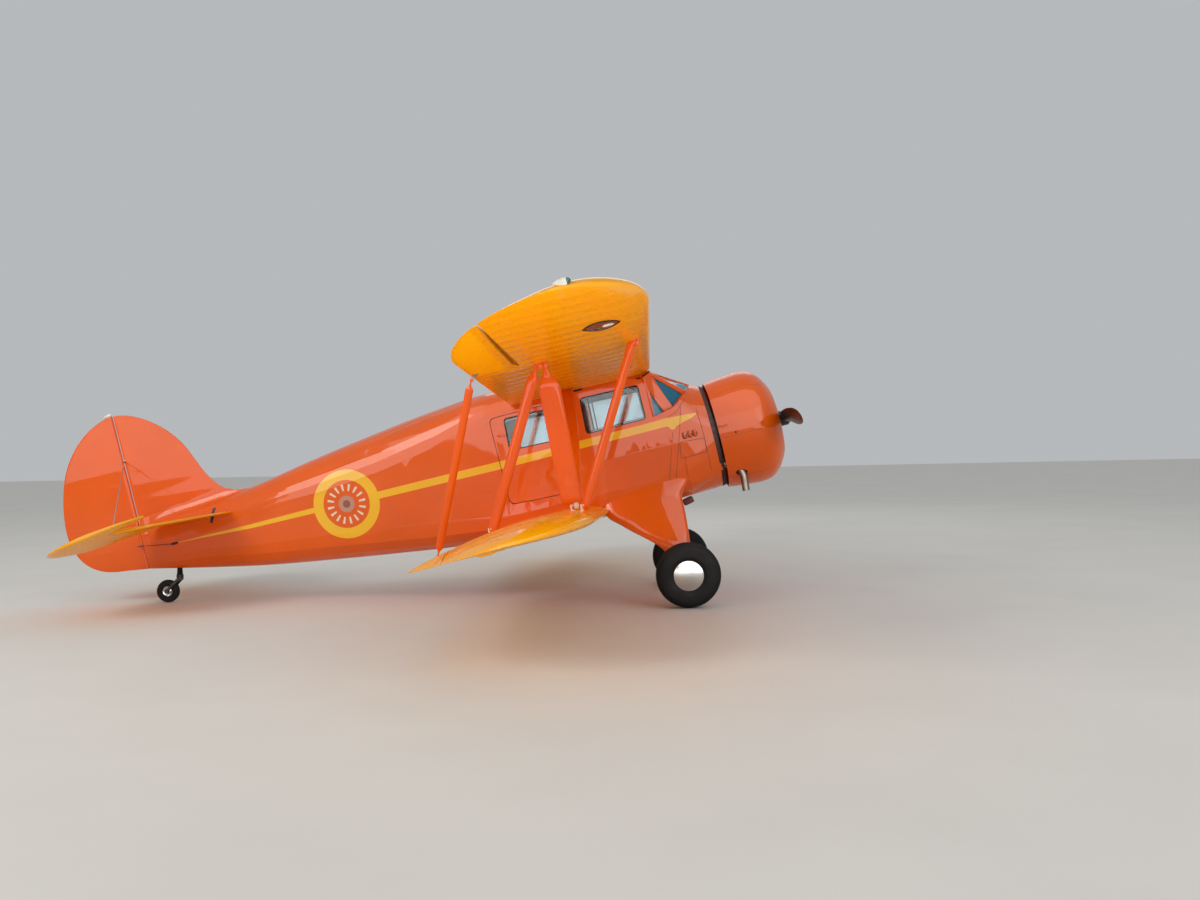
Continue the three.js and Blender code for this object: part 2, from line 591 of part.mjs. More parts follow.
// The link hangs beside the upper lug and ends beside the lower one
const OPEN_PIVOT = 4;
const linkTop = upperPin.clone().add(vector(0, SEAT_GAP + PLATE / 2, 0));
const linkFoot = lowerPin.clone().add(vector(0, OPEN_PIVOT + PLATE / 2, 0));
const linkAlong = linkTop.clone().sub(linkFoot).normalize();
const linkBar = strut(
  linkFoot.clone().add(linkAlong.clone().multiplyScalar(40)).add(vector(0, 12, 0)),
  linkTop.clone().sub(linkAlong.clone().multiplyScalar(40)).add(vector(0, 12, 0)), 62, 26,
);
const linkEye = (end, inwards) => rod(end.clone().add(vector(0, -PLATE / 2, 0)), end.clone().add(vector(0, PLATE / 2, 0)), 14)
  .add(rod(end.clone().add(vector(0, 5, 0)), end.clone().add(linkAlong.clone().multiplyScalar(inwards)).add(vector(0, 14, 0)), 6));
addPair('aileron_link', linkBar.add(linkEye(linkTop, -60)).add(linkEye(linkFoot, 60)), ORANGE);

// Fin and rudder, as outlines in side view
const finShape = new THREE.Shape();
finShape.moveTo(RUDDER_AXIS_X + 34, 500);
finShape.lineTo(RUDDER_AXIS_X + 34, 1780);
finShape.bezierCurveTo(-6640, 1775, -6330, 1560, -6190, 1290);
finShape.bezierCurveTo(-6090, 1090, -6060, 900, -5880, 745);
finShape.lineTo(-5560, 660);
finShape.lineTo(-5560, 500);
finShape.closePath();
const rudderShape = new THREE.Shape();
rudderShape.moveTo(RUDDER_AXIS_X + 22, 108);
rudderShape.lineTo(RUDDER_AXIS_X + 22, 1782);
rudderShape.bezierCurveTo(-7180, 1755, -7450, 1500, -7560, 1200);
rudderShape.bezierCurveTo(-7640, 980, -7690, 700, -7640, 520);
rudderShape.bezierCurveTo(-7570, 240, -7350, 165, -7150, 150);
rudderShape.closePath();
const halfTail = TAIL_THICKNESS / 2;
const rudderFittings = hingeFittings({
  origin: vector(RUDDER_AXIS_X, 0, 0), axis: vector(0, 0, 1), ahead: vector(1, 0, 0),
  stations: [200, 780, 1440], reach: 40, radius: 14, deep: 120,
});
const lowTongue = rudderFittings.tongues.intersect(block(-6000, -7000, -100, 100, 150, 260));
const highTongues = rudderFittings.tongues.intersect(block(-6000, -7000, -100, 100, 500, 1800));
const finBlank = sidePrism(finShape, -halfTail, halfTail, 12);
add('fin', finBlank.add(highTongues).subtract(hullRoom), ORANGE);
add('rudder', sidePrism(rudderShape, -halfTail, halfTail, 16).subtract(rudderFittings.notches), ORANGE);

// The stern post carries the lowest rudder hinge
const sternPad = block(STERN_POST + 40, RUDDER_AXIS_X + 34, -14, 14, 150, 260);
solids.rear_fuselage = solids.rear_fuselage.add(sternPad.add(lowTongue));
aircraft.getObjectByName('rear_fuselage').geometry = geometryOf(solids.rear_fuselage);

// Tailplane and elevators, as outlines in plan view drawn on the left
const tailGroup = new THREE.Matrix4().makeRotationY(degrees(TAILPLANE_TILT))
  .setPosition(ELEVATOR_AXIS.x, 0, ELEVATOR_AXIS.z);
const droopGroup = new THREE.Matrix4().makeRotationY(degrees(TAILPLANE_TILT - ELEVATOR_DROOP))
  .setPosition(ELEVATOR_AXIS.x, 0, ELEVATOR_AXIS.z);
const HORN_Y = 1262;
const tailplaneShape = new THREE.Shape();
tailplaneShape.moveTo(34, 40);
tailplaneShape.lineTo(830, 40);
tailplaneShape.lineTo(828, 230);
tailplaneShape.bezierCurveTo(800, 600, 680, 1000, 430, HORN_Y - 8);
tailplaneShape.lineTo(34, HORN_Y - 8);
tailplaneShape.closePath();
const elevatorShape = new THREE.Shape();
elevatorShape.moveTo(22, 116);
elevatorShape.lineTo(22, HORN_Y);
elevatorShape.lineTo(418, HORN_Y);
elevatorShape.bezierCurveTo(330, 1440, 120, 1640, -150, 1640);
elevatorShape.bezierCurveTo(-420, 1640, -560, 1430, -585, 1150);
elevatorShape.bezierCurveTo(-610, 850, -600, 650, -560, 470);
elevatorShape.lineTo(-60, 116);
elevatorShape.closePath();
function planPlate(shape, thickness, bevel, placing) {
  const geometry = new THREE.ExtrudeGeometry(shape, {
    depth: thickness - 2 * bevel, curveSegments: 8, bevelEnabled: true,
    bevelThickness: bevel, bevelSize: bevel, bevelOffset: -bevel, bevelSegments: 2,
  });
  geometry.translate(0, 0, bevel - thickness / 2);
  geometry.applyMatrix4(placing);
  return solidOf(geometry);
}
const tailAhead = vector(1, 0, 0).transformDirection(tailGroup);
const elevatorFittings = hingeFittings({
  origin: vector(ELEVATOR_AXIS.x, 0, ELEVATOR_AXIS.z), axis: vector(0, 1, 0), ahead: tailAhead,
  stations: [240, 660, 1120], reach: 40, radius: 14, deep: 120,
});
const droopedNotches = hingeFittings({
  origin: vector(ELEVATOR_AXIS.x, 0, ELEVATOR_AXIS.z), axis: vector(0, 1, 0),
  ahead: vector(1, 0, 0).transformDirection(droopGroup),
  stations: [240, 660, 1120], reach: 46, radius: 14, deep: 200,
}).notches;
const tailplane = planPlate(tailplaneShape, 42, 14, tailGroup).subtract(hullRoom);
addPair('tailplane', tailplane.add(elevatorFittings.tongues), YELLOW);
addPair('elevator', planPlate(elevatorShape, 42, 14, droopGroup).subtract(droopedNotches), YELLOW);

// Cowl ring: a skin with a rolled lip round the air inlet
const cowlOutside = [
  [COWL_REAR, 556], [-560, 574], [-420, 585], [-330, 587], [-230, 566], [-150, 506], [-95, 430], [-62, 368],
  [-52, 330], [-64, 306],
];
const cowlInside = [
  [-90, 303], [-110, 330], [-140, 400], [-180, 480], [-240, 546], [-330, 575], [-420, 573], [-560, 562],
  [COWL_REAR, 544], [COWL_REAR, 556],
];
const STACK_PATH = [vector(-719, -330, -300), vector(-628, -338, -330), vector(-566, -382, -430), vector(-522, -398, -640)];
const STACK_RADIUS = 37;
const stackHole = join([
  rod(STACK_PATH[1].clone().lerp(STACK_PATH[2], 0.4), STACK_PATH[2], STACK_RADIUS + 14),
  rod(STACK_PATH[2].clone().lerp(STACK_PATH[3], -0.12), STACK_PATH[3], STACK_RADIUS + 14),
]);
add('cowl', turned([...cowlOutside, ...cowlInside], 'x', 40).subtract(stackHole), ORANGE);

// Engine: crankcase, finned cylinders and the ring that carries the cowl
const crankcase = turned([
  [NOSE_FRONT + SEAT_GAP, 0], [NOSE_FRONT + SEAT_GAP, 250], [-560, 240], [-470, 225], [-420, 245], [-250, 245],
  [-220, 190], [-150, 130], [-80, 92], [-62, 60], [-62, 0],
], 'x', 18);
const FIN_RADII = [260, 335, 410];
const cylinderProfile = [[200, 0], [200, 72]];
FIN_RADII.forEach((radius) => {
  cylinderProfile.push([radius, 70], [radius + 8, 92], [radius + 32, 92], [radius + 40, 70]);
});
cylinderProfile.push([470, 76], [490, 96], [525, 88], [545, 50], [545, 0]);
const cylinder = turned(cylinderProfile, 'z', 10);
const cylinders = Array.from({ length: CYLINDERS }, (_, i) => (
  cylinder.rotate([(360 * i) / CYLINDERS, 0, 0]).translate([CYLINDER_X, 0, 0])));
const cowlRing = turned([[-358, 538], [-358, 574], [-332, 574], [-332, 538], [-358, 538]], 'x', 40);
add('engine', join([crankcase, ...cylinders, cowlRing]), ENGINE_GREY);

// Exhaust stack, open at its end
const stackPieces = STACK_PATH.slice(1).map((point, i) => rod(STACK_PATH[i], point, STACK_RADIUS - (i === 0 ? 1 : 0)));
const stackJoints = STACK_PATH.slice(1, 3).map((point) => {
  const ball = new THREE.SphereGeometry(STACK_RADIUS - 0.5, 12, 6);
  ball.translate(point.x, point.y, point.z);
  return solidOf(ball);
});
const stackBore = rod(STACK_PATH[2].clone().lerp(STACK_PATH[3], 0.45), STACK_PATH[3].clone().lerp(STACK_PATH[2], -0.1), STACK_RADIUS - 5);
add('exhaust_stack', join([...stackPieces, ...stackJoints]).subtract(stackBore).subtract(
  block(NOSE_FRONT - 60, NOSE_FRONT + SEAT_GAP, -500, 0, -500, 0)), STEEL);

// Propeller: two blades on a hub, parked level across the aircraft
const BLADE_COLUMNS = ['radius', 'chord', 'thick', 'twist'];
const BLADE_SECTIONS = [
  [60, 84, 78, 62], [150, 92, 66, 56], [260, 140, 46, 46], [450, 192, 32, 34], [700, 206, 22, 26],
  [950, 188, 17, 21], [1110, 146, 13, 18], [1185, 96, 10, 17], [PROPELLER_RADIUS, 34, 6, 16],
].map((row) => Object.fromEntries(row.map((value, i) => [BLADE_COLUMNS[i], value])));
const PROPELLER_X = 22;
function bladeRing({ radius, chord, thick, twist }) {
  const corners = 12;
  return Array.from({ length: corners }, (_, i) => {
    const turn = (2 * Math.PI * i) / corners;
    const [wide, deep] = [(chord * Math.cos(turn)) / 2, (thick * Math.sin(turn)) / 2];
    const lean = degrees(twist);
    const x = PROPELLER_X + wide * Math.sin(lean) + deep * Math.cos(lean);
    return vector(x, radius, wide * Math.cos(lean) - deep * Math.sin(lean));
  });
}
const blade = loft(BLADE_SECTIONS.map(bladeRing));
const propellerHub = turned([
  [-61.7, 0], [-61.7, 58], [-24, 62], [-22, 78], [66, 78], [70, 60], [104, 46], [110, 34], [110, 0],
], 'x', 16);
add('propeller', join([propellerHub, blade, blade.rotate([180, 0, 0])]), BLACK);

// Seats, panel and control column
const FRONT_SEAT = { x: -1900, y: 262, width: 440 };
function seat(middleY, width, frontX, deep, baseZ, backTop) {
  const outline = roundedPolygon([
    [frontX, FLOOR_TOP + SEAT_GAP], [frontX, baseZ], [frontX - deep + 130, baseZ - 30],
    [frontX - deep + 20, backTop], [frontX - deep - 90, backTop], [frontX - deep, baseZ - 120],
    [frontX - deep, FLOOR_TOP + SEAT_GAP],
  ], 24);
  return sidePrism(outline, middleY - width / 2, middleY + width / 2);
}
const seatRoom = fuselage(WALL + SEAT_GAP).intersect(block(-600, cabinBack, -FULL, FULL, FLOOR_TOP + SEAT_GAP, 1300));
addPair('seat_front', seat(FRONT_SEAT.y, FRONT_SEAT.width, -1690, 470, -90, 470).intersect(seatRoom), LEATHER);
const rearSeat = sidePrism(roundedPolygon([
  [-2440, FLOOR_TOP + SEAT_GAP], [-2440, -80], [-2780, -105], [-2830, 430], [CABIN_REAR + SEAT_GAP, 430],
  [CABIN_REAR + SEAT_GAP, FLOOR_TOP + SEAT_GAP],
], 20), -470, 470);
add('seat_rear', rearSeat.intersect(seatRoom), LEATHER);
const panelShape = roundedPolygon([
  [FIREWALL - SEAT_GAP, 60], [FIREWALL - SEAT_GAP, 352], [-1200, 318], [-1215, 60]], 12);
add('instrument_panel', sidePrism(panelShape, -460, 460), BLACK);
const WHEEL_HUB = vector(-1470, FRONT_SEAT.y, 170);
const yokeRing = new THREE.TorusGeometry(135, 12, 6, 16).rotateY(Math.PI / 2).rotateY(degrees(15));
yokeRing.translate(WHEEL_HUB.x, WHEEL_HUB.y, WHEEL_HUB.z);
const column = join([
  rod(vector(-1330, 0, FLOOR_TOP + SEAT_GAP), vector(-1400, 0, 160), 20, 12),
  rod(vector(-1400, 0, 150), vector(-1450, WHEEL_HUB.y, 165), 14, 12),
  rod(vector(-1450, WHEEL_HUB.y, 165), WHEEL_HUB, 16, 12),
  rod(WHEEL_HUB.clone().add(vector(0, -130, 0)), WHEEL_HUB.clone().add(vector(0, 130, 0)), 11, 10),
  solidOf(yokeRing),
]).subtract(block(-1500, -1200, -100, 100, FLOOR_TOP - 100, FLOOR_TOP + SEAT_GAP));
add('control_column', column, BLACK);

// Main gear legs: streamlined fairings down to a stub axle
const LEG_COLUMNS = ['z', 'front', 'rear', 'y', 'thick'];
const LEG_SECTIONS = [
  [-230, -1190, -1900, 470, 90],
  [-350, -1118, -1985, 510, 104],
  [-500, -1216, -1990, 560, 116],
  [-650, -1222, -1850, 625, 120],
  [-980, -1257, -1510, 762, 96],
  [-1275, -1292, -1420, 772, 66],
].map((row) => Object.fromEntries(row.map((value, i) => [LEG_COLUMNS[i], value])));
function legRing({ z, front, rear, y, thick }) {
  const corners = 14;
  return Array.from({ length: corners }, (_, i) => {
    const turn = (2 * Math.PI * i) / corners;
    const place = 0.5 * (1 - Math.cos(turn));
    const deep = Math.sin(turn) * (1 - 0.45 * place) * 0.62 * thick;
    return vector(front + (rear - front) * place, y + deep, z);
  });
}
const HUB_INNER = 812;
const AXLE_PLAY = 0.6;
const TYRE_FACETS = 32;
const TAIL_TYRE_FACETS = 24;
const TAIL_BORE = 8.7;
const AXLE_RADIUS = 25;
const axle = rod(vector(MAIN_WHEEL.x, 760, MAIN_WHEEL.z), vector(MAIN_WHEEL.x, MAIN_WHEEL.y, MAIN_WHEEL.z), AXLE_RADIUS, TYRE_FACETS);
const brakePlate = rod(vector(MAIN_WHEEL.x, 780, MAIN_WHEEL.z), vector(MAIN_WHEEL.x, HUB_INNER - 6, MAIN_WHEEL.z), 100, 24);
const lowerWingRoom = join([-1, 1].flatMap((side) => [
  lower.whole.translate([side * SEAT_GAP, 0, 0]), lower.whole.translate([0, 0, side * SEAT_GAP]),
  lower.whole.translate([side * SEAT_GAP, 0, side * SEAT_GAP]),
  lower.whole.translate([side * SEAT_GAP, 0, -side * SEAT_GAP]),
]));
const leg = loft(LEG_SECTIONS.map(legRing)).subtract(hullRoom).subtract(lowerWingRoom);
addPair('gear_leg', leg.add(axle).add(brakePlate), ORANGE);

// Wheels, drawn about their own middle. Profile rows are [across, radius].
function wheelGroup(name, x, y, z, parts) {
  const group = new THREE.Group();
  group.position.set(x, y, z);
  parts.forEach(([part, solid, material]) => {
    const mesh = new THREE.Mesh(geometryOf(solid), material);
    mesh.name = `${part}_${name}`;
    group.add(mesh);
  });
  aircraft.add(group);
}
function tyreProfile({ radius, width, rim }) {
  const side = width / 2;
  const [wall, shoulder] = [radius - rim, side * 0.95];
  return [
    [-side * 0.62, rim], [-shoulder, rim + wall * 0.22], [-side, rim + wall * 0.5], [-side * 0.9, rim + wall * 0.78],
    [-side * 0.58, radius - wall * 0.05], [-side * 0.2, radius], [side * 0.2, radius],
    [side * 0.58, radius - wall * 0.05], [side * 0.9, rim + wall * 0.78], [side, rim + wall * 0.5],
    [shoulder, rim + wall * 0.22], [side * 0.62, rim], [-side * 0.62, rim],
  ];
}
const inner = HUB_INNER - MAIN_WHEEL.y;
const hubRadius = MAIN_WHEEL.rim - SEAT_GAP;
const mainHub = turned([
  [88, 0], [84, 60], [74, 110], [60, hubRadius], [inner, hubRadius], [inner, 108], [inner + 30, 104],
  [inner + 30, AXLE_RADIUS + AXLE_PLAY], [AXLE_PLAY, AXLE_RADIUS + AXLE_PLAY], [AXLE_PLAY, 0],
], 'y', TYRE_FACETS);
const mainTyre = turned(tyreProfile(MAIN_WHEEL), 'y', TYRE_FACETS);
[['left', 1], ['right', -1]].forEach(([name, side]) => {
  wheelGroup(name, MAIN_WHEEL.x, side * MAIN_WHEEL.y, MAIN_WHEEL.z, [
    ['main_tyre', mainTyre, RUBBER],
    ['main_hub', side > 0 ? mainHub : mirrored(mainHub), METAL],
  ]);
});

// Tail wheel: a bracket under the stern, a swivelling fork, and the wheel
const SWIVEL_TILT = PITCH;
const swivelDirection = vector(Math.sin(SWIVEL_TILT), 0, Math.cos(SWIVEL_TILT));
const swivelAt = (height) => vector(TAIL_SWIVEL_X, 0, -60).add(swivelDirection.clone().multiplyScalar(height));
const bracket = rod(swivelAt(0), swivelAt(150), 24, 20).subtract(hullRoom);
add('tail_wheel_bracket', bracket.add(rod(swivelAt(0), swivelAt(30), 36, 20)), METAL);
const wheelAxle = vector(TAIL_WHEEL.x, 0, TAIL_WHEEL.z);
const FORK_Y = TAIL_WHEEL.width / 2 + 20;
const forkCrown = rod(swivelAt(-26), swivelAt(-SEAT_GAP), 36, 20)
  .add(rod(swivelAt(-14).add(vector(0, -FORK_Y - 6, 0)), swivelAt(-14).add(vector(0, FORK_Y + 6, 0)), 12, 12));
const forkArms = [-1, 1].map((side) => join([
  rod(swivelAt(-14).add(vector(0, side * FORK_Y, 0)), wheelAxle.clone().add(vector(0, side * FORK_Y, 0)), 12, 12),
  rod(wheelAxle.clone().add(vector(0, side * (FORK_Y - 6), 0)), wheelAxle.clone().add(vector(0, side * (FORK_Y + 8), 0)), 20, 16),
]));
const tailAxle = rod(wheelAxle.clone().add(vector(0, -FORK_Y, 0)), wheelAxle.clone().add(vector(0, FORK_Y, 0)), 8, 16);
add('tail_wheel_fork', join([forkCrown, ...forkArms, tailAxle]), METAL);
const tailSide = TAIL_WHEEL.width / 2;
wheelGroup('wheel', TAIL_WHEEL.x, 0, TAIL_WHEEL.z, [
  ['tail_tyre', turned(tyreProfile(TAIL_WHEEL), 'y', TAIL_TYRE_FACETS), RUBBER],
  ['tail_hub', turned([
    [-tailSide * 0.9, TAIL_BORE], [-tailSide * 0.9, 24], [-tailSide * 0.5, 40], [-tailSide * 0.62, 55 - SEAT_GAP],
    [tailSide * 0.62, 55 - SEAT_GAP], [tailSide * 0.5, 40], [tailSide * 0.9, 24], [tailSide * 0.9, TAIL_BORE],
    [-tailSide * 0.9, TAIL_BORE],
  ], 'y', TAIL_TYRE_FACETS), METAL],
]);

// Park the aircraft: lean it back, wheels on the ground, middle of its outer box over 0,0
aircraft.rotation.y = -PITCH;
aircraft.updateMatrixWorld(true);
const reach = new THREE.Box3().setFromObject(aircraft, true);
aircraft.position.set(-(reach.min.x + reach.max.x) / 2, 0, -reach.min.z);

const group = new THREE.Group();
group.add(aircraft);
group.updateMatrixWorld(true);

export default group;
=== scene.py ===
# Cabin biplane parked on its tail wheel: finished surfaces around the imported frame.
# Places are millimetres in the aircraft's own axes (+X forward, +Z up, propeller hub at 0,0,0);
# row() leans them back onto the wheels, in metres.
import math
import bmesh
import bpy
import numpy as np
from mathutils import Matrix, Vector, geometry


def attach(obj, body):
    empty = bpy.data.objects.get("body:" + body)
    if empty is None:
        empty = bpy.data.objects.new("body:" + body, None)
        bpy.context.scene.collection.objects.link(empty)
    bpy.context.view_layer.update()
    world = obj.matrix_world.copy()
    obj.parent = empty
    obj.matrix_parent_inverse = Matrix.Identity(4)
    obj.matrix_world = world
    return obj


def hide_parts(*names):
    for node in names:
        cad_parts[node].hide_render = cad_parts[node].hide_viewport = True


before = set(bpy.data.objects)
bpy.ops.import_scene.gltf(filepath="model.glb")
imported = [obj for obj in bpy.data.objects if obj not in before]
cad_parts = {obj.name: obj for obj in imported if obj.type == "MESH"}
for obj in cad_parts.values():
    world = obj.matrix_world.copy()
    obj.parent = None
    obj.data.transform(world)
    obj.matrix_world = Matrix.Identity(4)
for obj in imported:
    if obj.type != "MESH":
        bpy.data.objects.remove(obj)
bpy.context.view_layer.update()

LEAN = 0.2294644714
HUB = np.array([3766.150551, 0.0, 1819.217538])
SIDES = ((1, "left"), (-1, "right"))
TURN = np.array([[math.cos(LEAN), 0, -math.sin(LEAN)], [0, 1, 0], [math.sin(LEAN), 0, math.cos(LEAN)]])


def row(points):
    return (np.asarray(points, float).reshape(-1, 3) @ TURN.T + HUB) / 1000


def own(points):
    return (np.asarray(points, float).reshape(-1, 3) * 1000 - HUB) @ TURN


def clamp(value):
    return np.clip(value, 0, 1)


def full_turn(count):
    return np.linspace(0, 2 * math.pi, count, endpoint=False)


def add(name, data):
    """A new object in the scene."""
    made = bpy.data.objects.new(name, data)
    bpy.context.scene.collection.objects.link(made)
    return made


def srgb(code):
    parts = [int(code[i:i + 2], 16) / 255 for i in (0, 2, 4)]
    return tuple(c / 12.92 if c < 0.04045 else ((c + 0.055) / 1.055) ** 2.4 for c in parts) + (1.0,)


# Materials
ORANGE, YELLOW = srgb("ee6004"), srgb("ffae04")
STRIPE_YELLOW = srgb("ffc020")


class Shade:
    """A small builder for one material's nodes."""

    def __init__(self, name, rough, metal=0.0, coat=0.0, spec=0.5, sheen=0.0):
        self.mat = bpy.data.materials.new(name)
        self.mat.use_nodes = True
        self.tree = self.mat.node_tree
        self.bsdf = self.tree.nodes["Principled BSDF"]
        self.set("Roughness", rough)
        self.set("Metallic", metal)
        self.set("Coat Weight", coat)
        self.set("Coat Roughness", 0.12)
        self.set("Specular IOR Level", spec)
        self.set("Sheen Weight", sheen)
        self.place = self.node("ShaderNodeTexCoord").outputs["Object"]

    def set(self, socket, value):
        if hasattr(value, "is_output"):
            self.tree.links.new(value, self.bsdf.inputs[socket])
        else:
            self.bsdf.inputs[socket].default_value = value

    def node(self, kind, **settings):
        made = self.tree.nodes.new(kind)
        for key, value in settings.items():
            setattr(made, key, value)
        return made

    def feed(self, socket, value):
        if hasattr(value, "is_output"):
            self.tree.links.new(value, socket)
        else:
            socket.default_value = value

    def math(self, operation, *values):
        made = self.node("ShaderNodeMath", operation=operation)
        for socket, value in zip(made.inputs, values):
            self.feed(socket, value)
        return made.outputs[0]

    def noise(self, scale, detail=3.0, rough=0.55, place=None):
        made = self.node("ShaderNodeTexNoise")
        made.inputs["Scale"].default_value = scale
        made.inputs["Detail"].default_value = detail
        made.inputs["Roughness"].default_value = rough
        self.feed(made.inputs["Vector"], place or self.place)
        return made.outputs["Fac"]

    def scaled(self, x, y, z):
        made = self.node("ShaderNodeVectorMath", operation="MULTIPLY")
        self.feed(made.inputs[0], self.place)
        made.inputs[1].default_value = (x, y, z)
        return made.outputs[0]

    def range(self, value, low, high, to_low, to_high):
        made = self.node("ShaderNodeMapRange")
        for socket, given in zip(made.inputs, (value, low, high, to_low, to_high)):
            self.feed(socket, given)
        return made.outputs[0]

    def mix(self, share, a, b):
        made = self.node("ShaderNodeMix", data_type="RGBA")
        self.feed(made.inputs[0], share)
        self.feed(made.inputs[6], a)
        self.feed(made.inputs[7], b)
        return made.outputs[2]

    def bump(self, height, strength, distance=0.001):
        made = self.node("ShaderNodeBump")
        made.inputs["Strength"].default_value = strength
        made.inputs["Distance"].default_value = distance
        self.feed(made.inputs["Height"], height)
        if self.bsdf.inputs["Normal"].is_linked:
            self.tree.links.new(self.bsdf.inputs["Normal"].links[0].from_socket, made.inputs["Normal"])
        self.set("Normal", made.outputs[0])

    def mottled(self, base, dark=0.82, light=1.08, scale=1.6):
        lows = tuple(c * dark for c in base[:3]) + (1.0,)
        highs = tuple(min(1.0, c * light) for c in base[:3]) + (1.0,)
        return self.mix(self.range(self.noise(scale, 5.0), 0.3, 0.7, 0.0, 1.0), lows, highs)

    def dirt(self, colour, shade, amount, scale=9.0):
        """Thin grime that gathers low down and in patches."""
        height = self.node("ShaderNodeSeparateXYZ")
        self.feed(height.inputs[0], self.place)
        low = self.range(height.outputs[2], 0.2, 1.5, 1.0, 0.25)
        patch = self.range(self.noise(scale, 1.5, 0.5), 0.45, 0.85, 0.0, amount)
        return self.mix(self.math("MULTIPLY", low, patch), colour, shade)

    def uneven(self, rough, spread, scale=22.0):
        self.set("Roughness", self.range(self.noise(scale, 4.0), 0.3, 0.7, rough - spread, rough + spread))

    def weave(self, pitch, strength):
        """Crossed threads in the three directions of the aircraft."""
        parts = self.node("ShaderNodeSeparateXYZ")
        self.feed(parts.inputs[0], self.place)
        waves = [self.math("SINE", self.math("MULTIPLY", parts.outputs[i], 2 * math.pi / pitch)) for i in range(3)]
        cross = self.math("MAXIMUM", self.math("MULTIPLY", waves[0], waves[1]),
                          self.math("MULTIPLY", waves[0], waves[2]))
        self.bump(cross, strength, 0.0002)


MATERIALS = {}


def keep(name, shade):
    MATERIALS[name] = shade.mat


def painted(name, colour, rough=0.36, coat=0.6, weave=False, grime=0.1):
    s = Shade(name, rough, coat=coat)
    mixed = s.mottled(colour, 0.94, 1.04)
    s.set("Base Color", s.dirt(mixed, srgb("8a3a14"), grime, 2.6))
    s.set("Specular IOR Level", 0.08)
    s.set("Coat Roughness", 0.03)
    s.uneven(rough, 0.06)
    s.bump(s.noise(5.0, 2.0), 0.12, 0.002)
    if weave:
        s.weave(0.0016, 0.03)
    return s


keep("orange", painted("orange_sheet", ORANGE))
keep("orange_cloth", painted("orange_cloth", ORANGE, 0.38, 0.5, weave=True))
keep("yellow_cloth", painted("yellow_cloth", YELLOW, 0.3, 0.55, weave=True, grime=0.05))


def marked(name, weave):
    """Orange skin with the yellow side stripe and a plain ring with a ray motif."""
    s = painted(name, ORANGE, 0.36, 0.65, weave=weave)
    offset = s.node("ShaderNodeVectorMath", operation="SUBTRACT")
    s.feed(offset.inputs[0], s.place)
    offset.inputs[1].default_value = tuple(HUB / 1000)

    def along(direction):
        made = s.node("ShaderNodeVectorMath", operation="DOT_PRODUCT")
        s.feed(made.inputs[0], offset.outputs[0])
        made.inputs[1].default_value = direction
        return made.outputs["Value"]

    u = along((math.cos(LEAN), 0, math.sin(LEAN)))
    w = along((-math.sin(LEAN), 0, math.cos(LEAN)))
    t = s.math("DIVIDE", s.math("ADD", u, 7.0), 7.0)

    def curve(rows):
        made = s.node("ShaderNodeFloatCurve")
        line = made.mapping.curves[0]
        points = [((x + 7) / 7, y) for x, y in rows]
        line.points[0].location = points[0]
        line.points[1].location = points[-1]
        for point in points[1:-1]:
            line.points.new(*point)
        for point in line.points:
            point.handle_type = "VECTOR"
        made.mapping.update()
        s.feed(made.inputs["Value"], t)
        return made.outputs[0]

    top = curve([(-7, .3), (-6.56, .304), (-6.2, .304), (-5.63, .297), (-4.95, .299), (-4.2, .295), (-2.9, .285),
                 (-1.3, .287), (-1.19, .292), (-0.862, .271), (-0.855, .1), (0, .1)])
    bottom = curve([(-7, .32), (-6.56, .304), (-6.2, .289), (-5.63, .256), (-4.95, .245), (-4.2, .222), (-2.9, .206),
                    (-1.3, .209), (-1.214, .212), (-1.16, .2), (-1.141, .146), (-1.1, .187), (-1.03, .211),
                    (-0.946, .228), (-0.866, .258), (-0.862, .271), (0, .3)])
    band = s.math("MULTIPLY", s.math("LESS_THAN", w, top), s.math("GREATER_THAN", w, bottom))

    # The ring and, inside it, sixteen short rays round a disc
    du = s.math("ADD", u, 4.547)
    dw = s.math("SUBTRACT", w, 0.253)
    r = s.math("SQRT", s.math("ADD", s.math("MULTIPLY", du, du), s.math("MULTIPLY", dw, dw)))

    def between(value, low, high):
        return s.math("MULTIPLY", s.math("GREATER_THAN", value, low), s.math("LESS_THAN", value, high))

    ring = between(r, 0.247, 0.353)
    inside = s.math("LESS_THAN", r, 0.353)
    turn = s.math("ARCTAN2", dw, du)
    spoke = s.math("GREATER_THAN", s.math("COSINE", s.math("MULTIPLY", turn, 16.0)), 0.55)
    rays = s.math("MULTIPLY", spoke, between(r, 0.135, 0.205))
    disc = s.math("LESS_THAN", r, 0.085)
    button = s.math("LESS_THAN", r, 0.04)
    skin = s.bsdf.inputs["Base Color"].links[0].from_socket
    yellow = s.mottled(STRIPE_YELLOW, 0.94, 1.03)
    skin = s.mix(s.math("MULTIPLY", band, s.math("SUBTRACT", 1.0, inside)), skin, yellow)
    skin = s.mix(ring, skin, yellow)
    skin = s.mix(rays, skin, srgb("f2dcc0"))
    skin = s.mix(disc, skin, srgb("c9907c"))
    skin = s.mix(button, skin, srgb("9a5a4c"))
    s.set("Base Color", skin)
    return s


keep("marked_sheet", marked("marked_sheet", False))
keep("marked_cloth", marked("marked_cloth", True))


def metal(name, colour, rough, spread, brushed, dark):
    s = Shade(name, rough, metal=1.0)
    s.set("Base Color", s.mottled(colour, dark, 1.05, 6.0))
    s.uneven(rough, spread, 40.0)
    if brushed:
        s.bump(s.noise(1.0, 2.0, place=s.scaled(*brushed)), 0.25, 0.0004)
    return s


